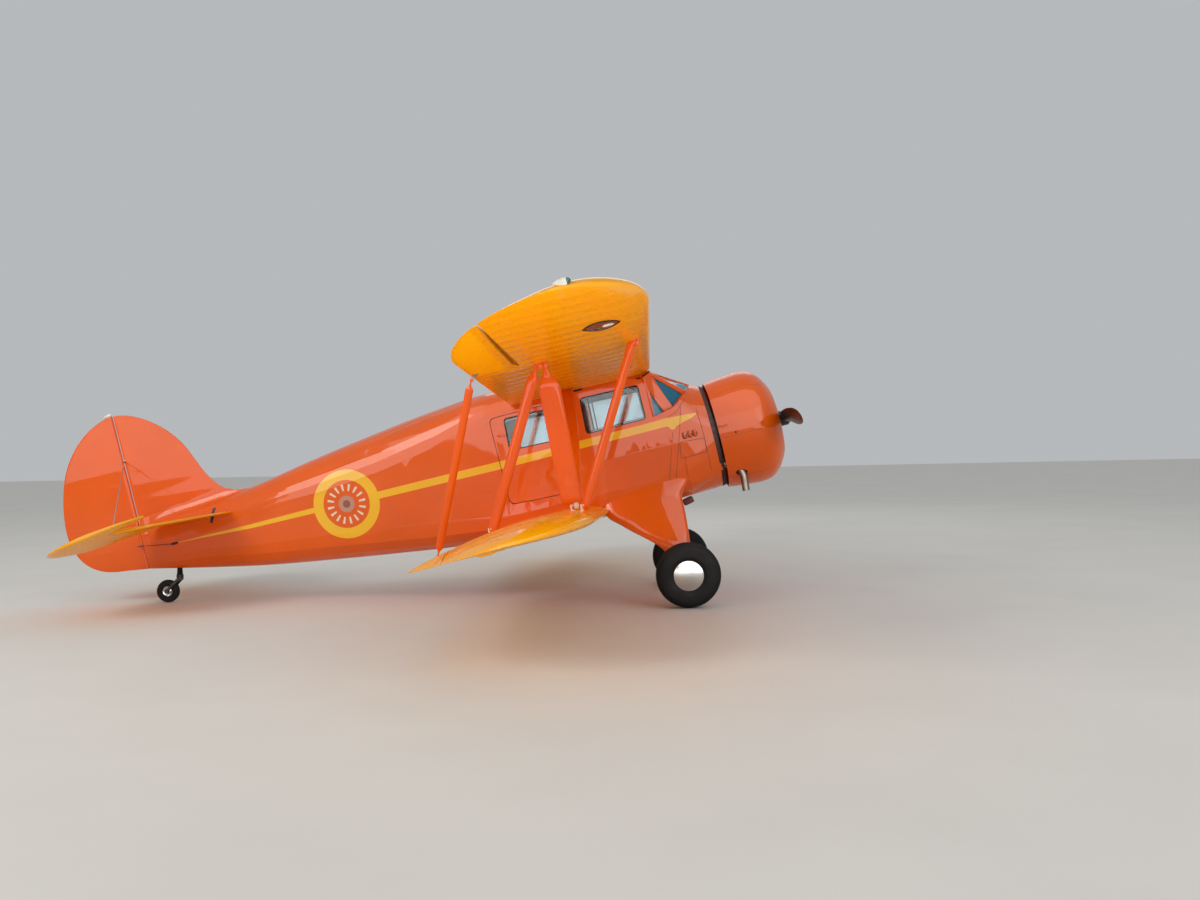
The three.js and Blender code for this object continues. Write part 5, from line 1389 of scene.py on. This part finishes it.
# Wing fittings: tip lamps, landing lights, strut forks, fairings and tie-down pads
for side, name in SIDES:
    panel = PANELS["upper"]
    tip = wing_point(panel, 5046, 0.35 * CHORD, 34)
    shape = turned([(-64, 1), (-58, 8), (-40, 17), (-14, 24), (10, 25), (20, 23), (21, 0.5)], tip, (1, 0, -0.02), 28)
    piece(f"tip_lamp_{name}", mirrored(shape, side), "white", crease=50)
    shape = turned([(21, 0.5), (21, 22), (32, 19), (42, 11), (46, 0.5)], tip, (1, 0, -0.02), 28)
    piece(f"tip_lens_{name}", mirrored(shape, side), "lens" if side < 0 else "red_lens", crease=60)

    # Landing light: an almond lip round a near-white dish under a brown cover; the dish's whiteness is a painted
    # highlight and the cover's tint is painted shade inside the lamp
    span, half_long, half_wide = 3755.0, 132.0, 150.0
    lip = np.array([wing_surface(panel, span + math.sin(a) * abs(math.sin(a)) ** 0.6 * half_wide,
                                 0.25 * CHORD - math.cos(a) * half_long, False) for a in full_turn(48)])
    centre = lip.mean(0)
    down = np.array([0.0, 0.06, -1.0])
    piece(f"landing_light_lip_{name}", mirrored(tube(np.concatenate([lip, lip[:2]]), 6.5, 10), side), "dark", crease=60)
    rings = [centre + (lip - centre) * k + down * d
             for k, d in ((0.98, 2.0), (0.8, 7.0), (0.5, 10.0), (0.2, 11.0), (0.02, 11.2))]
    base = [centre + (lip - centre) * 0.98 - down * 3]
    piece(f"landing_light_cover_{name}", mirrored(loft(base + rings), side), "smoked", crease=60)
    shape = lump(centre + np.array([48.0, 4, -9]), (44, 50, 8), power=0.9, n=12)
    piece(f"landing_light_dish_{name}", mirrored(shape, side), "reflector", crease=60)

    forks = {"lower": [], "upper": []}
    for key, *corners, _, _, _ in STRUTS[:3]:
        low, high = strut_ends(*corners)
        line = (high - low) / np.linalg.norm(high - low)
        for end, away, k, upper in ((low, line, "lower", True), (high, -line, "upper", False)):
            chord_place = (PANELS[k]["x"] - end[0])
            foot = wing_surface(PANELS[k], end[1], chord_place, upper)
            sign = 1 if upper else -1
            forks[k].append(turned([(-3, 20), (3, 20), (6, 16), (6, 0.5)], foot, (0, 0, sign), 28))
            forks[k].append(lump(foot + away * 24, (7, 17, 30), [(0, 1, 0), (1, 0, 0), (0, 0, 1)], 0.55, 10))
            forks[k].append(turned([(-19, 6.5), (19, 6.5)], foot + away * 44, (0.1, 1, 0), 14))
            if key == "strut_diagonal" and upper:
                forks[k].append(lump(foot + np.array([34.0, 0, 40]), (22, 20, 34), power=0.7))
                forks[k].append(tube(np.array([foot + [34, 0, 40], foot + away * 120 + [-52, 0, 0]]), 6.0, 12))
    piece(f"strut_fittings_{name}", mirrored(joined(forks["lower"]), side), "cream", crease=45)
    piece(f"strut_forks_{name}", mirrored(joined(forks["upper"]), side), "orange", crease=45)

    spots = [wing_surface(PANELS["lower"], span, 0.56 * CHORD, False) - [0, 0, 6] for span in (3650, 3050)]
    shape = joined([lump(at, (70, 12, 14), power=0.8) for at in spots])
    piece(f"lower_wing_fairings_{name}", mirrored(shape, side), "yellow_cloth", crease=60)
    at = np.array([-2500.0, 2640.0, -446.0])
    shape = joined([turned([(0, 26), (46, 26)], at, (0, 0, 1), 32),
                    turned([(-1, 14), (1, 16), (1, 0.5)], at, (0, 0, 1), 24)])
    piece(f"tie_down_pad_{name}", mirrored(shape, side), "steel", crease=40)

# Cabin seats, their pads swollen as cloth
PAD_VOXEL, PAD_CAP, PAD_PRESSURE, PAD_FRAMES = 0.0125, 0.014, 4.0, 20


def swell(shape):
    """Blows a closed shell up as cloth, holds each point within a cap, and rounds the result."""
    scene = bpy.context.scene
    made = closed_form("pad", shape, 1e-5)
    remesh = made.modifiers.new("even", "REMESH")
    remesh.mode, remesh.voxel_size = "VOXEL", PAD_VOXEL
    even = applied(made)
    made.data = even
    cloth = made.modifiers.new("cloth", "CLOTH")
    cloth.settings.quality = 4
    cloth.settings.mass = 0.3
    cloth.settings.use_pressure = True
    cloth.settings.uniform_pressure_force = PAD_PRESSURE
    cloth.settings.effector_weights.gravity = 0.0
    cloth.point_cache.frame_start, cloth.point_cache.frame_end = 1, PAD_FRAMES
    for step in range(1, PAD_FRAMES + 1):
        scene.frame_set(step)
    blown = applied(made)
    scene.frame_set(1)
    count = len(even.vertices)
    rest, now = np.empty(count * 3), np.empty(count * 3)
    even.vertices.foreach_get("co", rest)
    blown.vertices.foreach_get("co", now)
    shift = (now - rest).reshape(-1, 3)
    length = np.linalg.norm(shift, axis=1)
    shift *= np.minimum(1, PAD_CAP / np.maximum(length, 1e-9))[:, None]
    even.vertices.foreach_set("co", (rest.reshape(-1, 3) + shift).ravel())
    even.update()
    subdivide = made.modifiers.new("round", "SUBSURF")
    subdivide.levels = subdivide.render_levels = 1
    done = applied(made)
    bpy.data.objects.remove(made)
    return done


def cushion(name, centre, half, axes, across=(), along=(), replaces=()):
    """A padded form with sewn channels across its face and piping round its edge."""
    axes = np.asarray(axes, float)
    centre, half = np.asarray(centre, float), np.asarray(half, float)
    mesh = swell(lump(centre, half - 11, axes, 0.34, 22))
    count = len(mesh.vertices)
    co = np.empty(count * 3)
    mesh.vertices.foreach_get("co", co)
    place = own(co.reshape(-1, 3))
    local = (place - centre) @ axes.T
    face_share = clamp((local[:, 2] / half[2] - 0.1) / 0.5)
    depth = np.zeros(count)
    for i, lines in enumerate((across, along)):
        for line in lines:
            depth += 8.0 * np.exp(-((local[:, i] - line) / 6.5) ** 2)
    edge = np.maximum(np.abs(local[:, 0]) / half[0], np.abs(local[:, 1]) / half[1])
    crown = 9.0 * clamp(1 - edge ** 2)
    local[:, 2] += (crown - np.minimum(depth, 9.0) * clamp((1 - edge) / 0.1)) * face_share
    turn = np.arctan2(local[:, 1], local[:, 0])
    reach = np.hypot(local[:, 0], local[:, 1])
    cords = []
    for sign in (1, -1):
        level = sign * 0.55 * half[2]
        near = np.abs(local[:, 2] - level) < 9
        path = []
        for a in np.linspace(-math.pi, math.pi, 121)[:-1]:
            gap = np.abs(np.angle(np.exp(1j * (turn[near] - a))))
            r = reach[near][np.argmax(np.where(gap < 0.06, reach[near], 0))]
            path.append((r * math.cos(a), r * math.sin(a), level))
        path = np.array(path)
        for _ in range(3):
            path[:, :2] = (np.roll(path, 1, 0) + 2 * path + np.roll(path, -1, 0))[:, :2] / 4
        cords.append(tube(centre + np.concatenate([path, path[:2]]) @ axes, 4.2, 10))
    mesh.vertices.foreach_set("co", row(centre + local @ axes).ravel())
    mesh.update()
    mesh.name = name
    smooth_mesh(mesh, 60)
    made = shown(name, mesh, "leather", "airframe", replaces)
    piece(f"{name}_piping", joined(cords), "piping", crease=60)


def seat_base(name, front, rear, y, half_wide):
    """A rounded plinth with a kick board and a top rail."""
    low, high = -419, -212
    x, half_long = (front + rear) / 2, (front - rear) / 2
    parts = [lump([x, y, (low + high) / 2], [half_long - 12, half_wide - 12, (high - low) / 2 - 2], power=0.12, n=24)]
    for z, deep in ((low + 22, 20), (high - 14, 11)):
        parts.append(lump([x, y, z], [half_long - 3, half_wide - 3, deep], power=0.14, n=20))
    piece(name, joined(parts), "lining", crease=40)


def tilted(front, rear):
    """Axes of a pad whose length runs from front to rear, with its face upwards or forwards."""
    along = np.asarray(front, float) - np.asarray(rear, float)
    along /= np.linalg.norm(along)
    side = np.array([0.0, 1.0, 0.0])
    return np.array([along, side, np.cross(along, side)])


for side, name in SIDES:
    y = 262 * side
    seat_base(f"seat_front_{name}_base", -1715, -2140, y, 190)
    pleats = (-132, -66, 0, 66, 132)
    cushion(f"seat_front_{name}_cushion", (-1862, y, -156), (172, 218, 58), tilted((-1690, 0, -90), (-2030, 0, -120)),
            along=pleats, replaces=(f"seat_front_{name}",))
    cushion(f"seat_front_{name}_back", (-2144, y, 158), (312, 216, 52), tilted((-2195, 0, 460), (-2098, 0, -140)),
            across=(190,), along=pleats)
seat_base("seat_rear_base", -2470, -2920, 0, 425)
wide_pleats = tuple(range(-400, 401, 80))
cushion("seat_rear_cushion", (-2612, 0, -150), (172, 462, 58), tilted((-2440, 0, -80), (-2780, 0, -105)),
        along=wide_pleats, replaces=("seat_rear",))
cushion("seat_rear_back", (-2852, 0, 160), (268, 462, 50), tilted((-2876, 0, 430), (-2828, 0, -100)), across=(170,),
        along=wide_pleats)

# Instrument panel with dials, knobs and a padded brow
panel_corners = [(-1100.5, 62), (-1100.5, 350), (-1196, 317), (-1211, 62)]
panel_ring = np.array(rounded(panel_corners, 12, 5))
middle_xz = panel_ring.mean(0)
rings = []
for y, k in ((-459, 0.93), (-457, 0.98), (-452, 1.0), (-300, 1.0), (0, 1.0), (300, 1.0), (452, 1.0), (457, 0.98),
             (459, 0.93)):
    shape = middle_xz + (panel_ring - middle_xz) * k
    rings.append(np.stack([shape[:, 0], np.full(len(shape), y), shape[:, 1]], 1))
piece("instrument_panel_form", loft(rings), "crackle", crease=40, replaces=("instrument_panel",))
brow = polyline([(-1203, -440, 312), (-1209, -300, 322), (-1211, 0, 325), (-1209, 300, 322), (-1203, 440, 312)], 10)
piece("panel_brow", tube(brow, 15, 16), "leather", crease=60)
to_pilot = np.array([-1.0, 0, 0.058])
to_pilot /= np.linalg.norm(to_pilot)
up_panel = np.array([0.058, 0, 1.0])
bezels, dial_plates, marks, knobs = [], [], [], []
for z, ys, r in ((245, (-335, -235, -135, 135, 235, 335), 39), (245, (-40, 50), 30),
                 (150, (-335, -235, -135, 135, 235, 335), 39), (168, (-45, 5, 55), 20)):
    for y in ys:
        at = np.array([-1200 - (317 - z) * 0.058, y, z]) + to_pilot * 1.0
        bezels.append(turned([(-2, r + 4), (5, r + 4), (7, r + 1), (5, r - 2), (2, r - 3), (2, r - 2)], at, to_pilot,
                             40, caps=False))
        dial_plates.append(turned([(-2, r - 1), (2.4, r - 1), (2.4, 0.4)], at, to_pilot, 40))
        for i in range(12 if r > 25 else 6):
            a = 2 * math.pi * i / (12 if r > 25 else 6)
            out = np.array([0, math.sin(a), 0]) + up_panel * math.cos(a)
            beside = np.cross(to_pilot, out)
            marks.append(lump(at + out * (r - 7) + to_pilot * 2.6, (0.8, 3.2, 0.5), [beside, out, to_pilot], 0.3, 5))
        a = (y * 0.37 + z * 0.11) % 6.28
        out = np.array([0, math.sin(a), 0]) + up_panel * math.cos(a)
        beside = np.cross(to_pilot, out)
        needle = (1.3, r * 0.48, 0.6)
        marks.append(lump(at + out * (r * 0.28) + to_pilot * 3.2, needle, [beside, out, to_pilot], 0.8, 7))
for i, y in enumerate((-70, -35, 0, 35, 70)):
    at = np.array([-1211.0, y, 92.0])
    knobs.append(turned([(-2, 6), (26, 6), (28, 13), (38, 15), (46, 12), (48, 0.5)], at, to_pilot, 20))
for y in (-400, -370, 370, 400):
    knobs.append(turned([(-2, 7), (4, 7), (4, 3), (16, 4), (17, 0.5)], np.array([-1209.0, y, 120.0]), to_pilot, 14))
for parts, key, material in ((bezels, "dial_bezels", "steel"), (dial_plates, "dial_faces", "black"),
                             (marks, "dial_marks", "cream"), (knobs, "panel_knobs", "black")):
    piece(key, joined(parts), material, crease=45)

# Throw-over control column and rudder pedals
yoke_hub = np.array([-1470.0, 262.0, 170.0])
yoke_lean = math.radians(15)
yoke_up = np.array([math.sin(yoke_lean), 0, math.cos(yoke_lean)])
ring_t = np.linspace(0, 2 * math.pi, 73)
yoke = np.array([yoke_hub + 135 * (math.cos(t) * np.array([0, 1.0, 0]) + math.sin(t) * yoke_up) for t in ring_t])
column_parts = [
    tube(polyline([(-1330, 0, -419), (-1350, 0, -250), (-1378, 0, -20), (-1400, 0, 160)], 8), 19.5, 24),
    turned([(-20, 22), (-16, 27), (16, 27), (20, 22)], (-1400, 0, 150), (0, 1, 0), 28),
    tube(polyline([(-1400, 0, 150), (-1424, 120, 158), (-1450, 262, 165)], 8), 13.5, 20),
    turned([(-20, 12), (-14, 26), (10, 30), (20, 22), (24, 0.5)], yoke_hub, (-0.97, 0, 0.26), 28),
    tube(np.concatenate([yoke, yoke[1:2]]), 11, 18),
    *[tube([yoke_hub, yoke_hub + 130 * np.array([0, math.cos(a), 0]) + 130 * math.sin(a) * yoke_up], 8, 14)
      for a in (0.0, math.pi, -math.pi / 2)],
    turned([(0, 46), (10, 44), (26, 30), (34, 22)], (-1330, 0, -419), (0, 0, 1), 32),
]
piece("control_column_form", joined(column_parts), "black", crease=45, replaces=("control_column",))
pedals = []
for middle in (262, -262):
    for dy in (-80, 80):
        foot = np.array([-1135.0, middle + dy, -415.0])
        pedals.append(tube([foot, foot + [6, 0, 120]], 8, 12))
        pedals.append(lump(foot + [2, 0, 128], (10, 38, 42), power=0.4, n=10))
piece("rudder_pedals", joined(pedals), "steel", crease=45)

# Tail wheel: boot, fork with flat arms, spindle
swivel = np.array([math.sin(LEAN), 0, math.cos(LEAN)])
foot = np.array([-6585.0, 0, -60.0])
ripples = [(30, 30)] + [(34 + i * 4.5, 33 - (i % 2) * 6 - i * 0.25) for i in range(17)] + [(112, 24)]
shape = joined([turned([(0, 35.6), (3, 36), (26, 36), (30, 33), (30, 26)], foot, swivel, 40),
                turned(ripples, foot, swivel, 40)])
piece("tail_bracket_boot", shape, "trim", crease=40, replaces=("tail_wheel_bracket",))
crown = [turned([(-26, 30), (-22, 35), (-4, 36), (-0.4, 34), (-0.4, 0.5)], foot, swivel, 40),
         tube([foot + swivel * -14 + [0, -58, 0], foot + swivel * -14 + [0, 58, 0]], 11.5, 20),
         tube([TAIL_AXLE + [0, -58, 0], TAIL_AXLE + [0, 58, 0]], 8, 18)]
for s in (1, -1):
    start, end = foot + swivel * -14 + [0, 54 * s, 0], TAIL_AXLE + [0, 54 * s, 0]
    crown.append(strut_form(start + (start - end) * 0.06, end + (end - start) * 0.04, 34, 13))
    crown.append(turned([(-6, 20), (4, 20), (6, 18), (6, 11), (8, 11), (8, 0.5)], end, (0, s, 0), 30))
piece("tail_fork_form", joined(crown), "dark_steel", "tail_fork", crease=40, replaces=("tail_wheel_fork",))

# Windscreen: one front pane and two three-cornered ones on each side, in a raised frame
def inset_outline(flat, insets):
    """Corners of a convex outline drawn in by a distance for each of its edges."""
    count = len(flat)
    lines = []
    for i in range(count):
        a, b = flat[i], flat[(i + 1) % count]
        d = (b - a) / np.linalg.norm(b - a)
        n = np.array([-d[1], d[0]])
        lines.append((a + n * insets[i], d))
    out = []
    for i in range(count):
        (p, d), (q, e) = lines[i - 1], lines[i]
        t = ((q - p)[0] * e[1] - (q - p)[1] * e[0]) / (d[0] * e[1] - d[1] * e[0])
        out.append(p + d * t)
    return np.array(out)


def reaches(flat, middle, angles):
    """How far rays from the middle go to an outline."""
    out = []
    for a in angles:
        d = np.array([math.cos(a), math.sin(a)])
        best = 1e9
        for p, q in zip(flat, np.roll(flat, -1, 0)):
            e = q - p
            across = d[0] * e[1] - d[1] * e[0]
            if abs(across) < 1e-9:
                continue
            t = ((p - middle)[0] * e[1] - (p - middle)[1] * e[0]) / across
            u = ((p - middle)[0] * d[1] - (p - middle)[1] * d[0]) / across
            if t > 0 and -1e-6 <= u <= 1 + 1e-6:
                best = min(best, t)
        out.append(best)
    return np.array(out)


def pane_parts(corners, hole, radius):
    """The frame round one pane, and its glass. hole is a list of corners, or how far each edge is drawn in."""
    thick, frame_out = 24.0, 2.0
    corners = np.asarray(corners, float)
    middle = corners.mean(0)
    normal = np.cross(corners[2] - corners[0], corners[-1] - corners[1])
    normal /= np.linalg.norm(normal)
    if normal @ (middle - np.array([-1420.0, 0, 420.0])) < 0:
        corners, normal = corners[::-1], -normal
        hole = hole[::-1] if np.ndim(hole) > 1 else [hole[(len(hole) - 2 - i) % len(hole)] for i in range(len(hole))]
    first = corners[1] - corners[0]
    first -= normal * (first @ normal)
    first /= np.linalg.norm(first)
    second = np.cross(normal, first)
    flat = np.stack([(corners - middle) @ first, (corners - middle) @ second], 1)
    if np.ndim(hole) > 1:
        hole = np.stack([(np.asarray(hole) - middle) @ first, (np.asarray(hole) - middle) @ second], 1)
    else:
        hole = inset_outline(flat, hole)
    heart = hole.mean(0)
    smooth_hole = np.array(rounded(hole, radius, 8))
    at_corners = np.arctan2(*(flat - heart).T[::-1])
    angles = np.unique(np.round(np.concatenate([np.linspace(-math.pi, math.pi, 120, endpoint=False), at_corners]), 6))
    out, into = reaches(flat, heart, angles), reaches(smooth_hole, heart, angles)
    heights = [(c - middle) @ normal for c in corners]
    middle3 = middle + heart[0] * first + heart[1] * second + normal * np.mean(heights)

    def edge_point(a, r):
        p = heart + r * np.array([math.cos(a), math.sin(a)])
        for i in range(len(flat)):
            e = flat[(i + 1) % len(flat)] - flat[i]
            t = (p - flat[i]) @ e / (e @ e)
            if abs(np.linalg.norm(flat[i] + e * t - p)) < 1e-3 and -1e-3 <= t <= 1.001:
                return corners[i] + (corners[(i + 1) % len(corners)] - corners[i]) * t
        return middle + p[0] * first + p[1] * second

    outer = np.array([edge_point(a, r) for a, r in zip(angles, out)])
    share = (into / out)[:, None]
    inner = middle3 + (outer - middle3) * share
    lip = middle3 + (outer - middle3) * (share + (1 - share) * 0.12)
    loops = [outer, lip + normal * frame_out, inner + normal * (frame_out - 2), inner - normal * (thick - 8),
             lip - normal * thick, outer - normal * thick]
    glass_edge = middle3 + (outer - middle3) * (share + (1 - share) * 0.3)
    rings = [glass_edge - normal * 12, middle3 + (glass_edge - middle3) * 0.5 - normal * 10,
             middle3 + (glass_edge - middle3) * 0.5 - normal * 14, glass_edge - normal * 16]
    top, low = middle3 - normal * 9, middle3 - normal * 13
    points = np.concatenate([[top], rings[1], rings[0], rings[3], rings[2], [low]])
    n = len(angles)
    glass_faces = [(0, 1 + (j + 1) % n, 1 + j) for j in range(n)]
    for i in range(3):
        glass_faces += [(1 + i * n + j, 1 + i * n + (j + 1) % n, 1 + (i + 1) * n + (j + 1) % n,
                         1 + (i + 1) * n + j) for j in range(n)]
    glass_faces += [(1 + 3 * n + j, 1 + 3 * n + (j + 1) % n, len(points) - 1) for j in range(n)]
    return wound(np.stack(loops, 1)), (points, glass_faces)


BASE = [(-838, 0, 581), (-905, 300, 512), (-1085, 500, 379), (-1290, 572, 337)]
TOP = [(-1216, 0, 822), (-1216, 300, 812), (-1218, 482, 782), (-1299, 574, 744)]
SCREEN_PANES = [
    ([BASE[0], BASE[1], TOP[2], TOP[1], TOP[0]], [12, 16, 24, 60, 14], 16),
    ([BASE[1], BASE[2], TOP[2]], [(-938, 350, 500), (-1091, 484, 389), (-1232, 492, 750)], 10),
    ([BASE[2], BASE[3], TOP[3], TOP[2]], [(-1176, 530, 345), (-1283, 566, 336), (-1268, 560, 600)], 6),
]
frames, glasses = [], []
for corners, hole, radius in SCREEN_PANES:
    pane_frame, glass = pane_parts(corners, hole, radius)
    for side in (1, -1):
        frames.append(mirrored(pane_frame, side))
        glasses.append(mirrored(glass, side))
piece("windscreen_frame_form", joined(frames), "orange", crease=30, replaces=("windscreen_frame",))
piece("windscreen_panes", joined(glasses), "screen_glass", crease=40, replaces=("windscreen_glass",))

# Fillets where the fin meets the fuselage
for side, name in SIDES:
    rings = []
    for x in np.linspace(-5600, -6855, 60):
        share = clamp((-5600 - x) / 330)
        grow = share * share * (3 - 2 * share) * min(1.0, (x + 6862) / 60 + 0.4)
        wide, tall = 14 + 32 * grow, 0.5 + 61 * grow
        inner, outer = 20.0, 20 + wide
        base_in, base_out = hull_top(x, inner), hull_top(x, outer)
        curve = [(inner + wide * t, base_in + tall * (1 - t) ** 2.2 + (base_out - base_in) * t)
                 for t in np.linspace(0, 1, 9)]
        ring = curve + [(outer - 3, base_out - 8), (inner, base_in - 8)]
        rings.append([(x, side * a, b) for a, b in ring])
    piece(f"fin_fillet_{name}", loft(rings), "orange", crease=60)

# Probe on the roof
piece("roof_probe", lump((-1229, -470, 806), (20, 8, 9), power=0.8), "white", crease=60)

# Camera, floor and soft light
camera = add("camera", bpy.data.cameras.new("camera"))
bpy.context.scene.camera = camera
YAW, PITCH_UP, ROLL = 0.0333958, -0.0030563, -0.0200476
CAMERA_AT = (2.2459, -11.2076, 1.5645)
forward = Vector((-math.sin(YAW) * math.cos(PITCH_UP), math.cos(YAW) * math.cos(PITCH_UP), math.sin(PITCH_UP)))
right = Vector((math.cos(YAW), math.sin(YAW), 0))
up = right.cross(forward)
right, up = right * math.cos(ROLL) + up * math.sin(ROLL), up * math.cos(ROLL) - right * math.sin(ROLL)
turn = Matrix((right, up, -forward)).transposed().to_4x4()
camera.matrix_world = Matrix.Translation(CAMERA_AT) @ turn
camera.data.sensor_width = 36.0
camera.data.lens = 32.0
camera.data.clip_end = 400.0

FLOOR_HALF = 60
floor_mesh = bpy.data.meshes.new("floor")
floor_mesh.from_pydata([(FLOOR_HALF * x, FLOOR_HALF * y, 0) for x, y in ((-1, -1), (1, -1), (1, 1), (-1, 1))], [],
                       [(0, 1, 2, 3)])
floor = add("floor", floor_mesh)
ground = Shade("pale_floor", 0.75, spec=0.2)
ground.set("Base Color", ground.mottled(srgb("e4e1db"), 0.97, 1.02, 0.7))
floor_mesh.materials.append(ground.mat)

world = bpy.data.worlds.new("studio")
bpy.context.scene.world = world
world.use_nodes = True
world.node_tree.nodes["Background"].inputs[0].default_value = (0.94, 0.97, 1.0, 1)
world.node_tree.nodes["Background"].inputs[1].default_value = 0.5


def lamp(name, place, target, size, power, colour=(1, 1, 1), diffuse=True, glossy=True):
    data = bpy.data.lights.new(name, "AREA")
    data.shape = "RECTANGLE"
    data.size, data.size_y = size
    data.energy = power
    data.color = colour
    made = add(name, data)
    made.location = place
    made.visible_camera, made.visible_diffuse, made.visible_glossy = False, diffuse, glossy
    made.rotation_euler = (Vector(target) - Vector(place)).to_track_quat("-Z", "Y").to_euler()


lamp("key", (-10, -12, 11), (0, 0, 1), (7, 7), 1000, (1.0, 0.95, 0.86))
lamp("fill", (11, -10, 8), (0, 0, 1), (9, 7), 260, (0.96, 0.98, 1.0))
lamp("card", (2, -28, 10.4), (2, 0, 10.4), (50, 19.2), 8400, (1.0, 0.99, 0.97), diffuse=False)
lamp("canopy", (2, -15, 24), (2, -4, 1), (50, 24), 7800, (1.0, 0.99, 0.98), diffuse=False)
lamp("back", (2, 13, 9), (0, 0, 1), (10, 6), 160)
lamp("under", (0, -7, 0.03), (0, -7, 5), (14, 3.5), 260, (1.0, 0.93, 0.8), glossy=False)
bpy.context.scene.view_settings.view_transform = "Standard"

# Carried-over nodes take a finish where no piece stands for them
FINISH = {
    "windscreen_frame": "orange", "windscreen_glass": "screen_glass", "fin": "orange_cloth", "rudder": "orange_cloth",
    "tailplane": "yellow_cloth", "elevator": "yellow_cloth", "cowl": "orange", "engine": "grey_metal",
    "exhaust_stack": "heated", "propeller": "blade", "seat": "leather", "instrument_panel": "black",
    "control_column": "black", "gear_leg": "orange", "main_tyre": "rubber", "main_hub": "bright",
    "tail_wheel_bracket": "steel", "tail_wheel_fork": "steel", "tail_tyre": "rubber", "tail_hub": "bright",
    "window": "glass", "strut": "orange", "wing_brace": "orange", "aileron_link": "orange", "aileron": "yellow_cloth",
}
for name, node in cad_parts.items():
    finish = next((v for k, v in FINISH.items() if name.startswith(k)), None)
    if finish:
        node.data.materials.clear()
        node.data.materials.append(MATERIALS[finish])
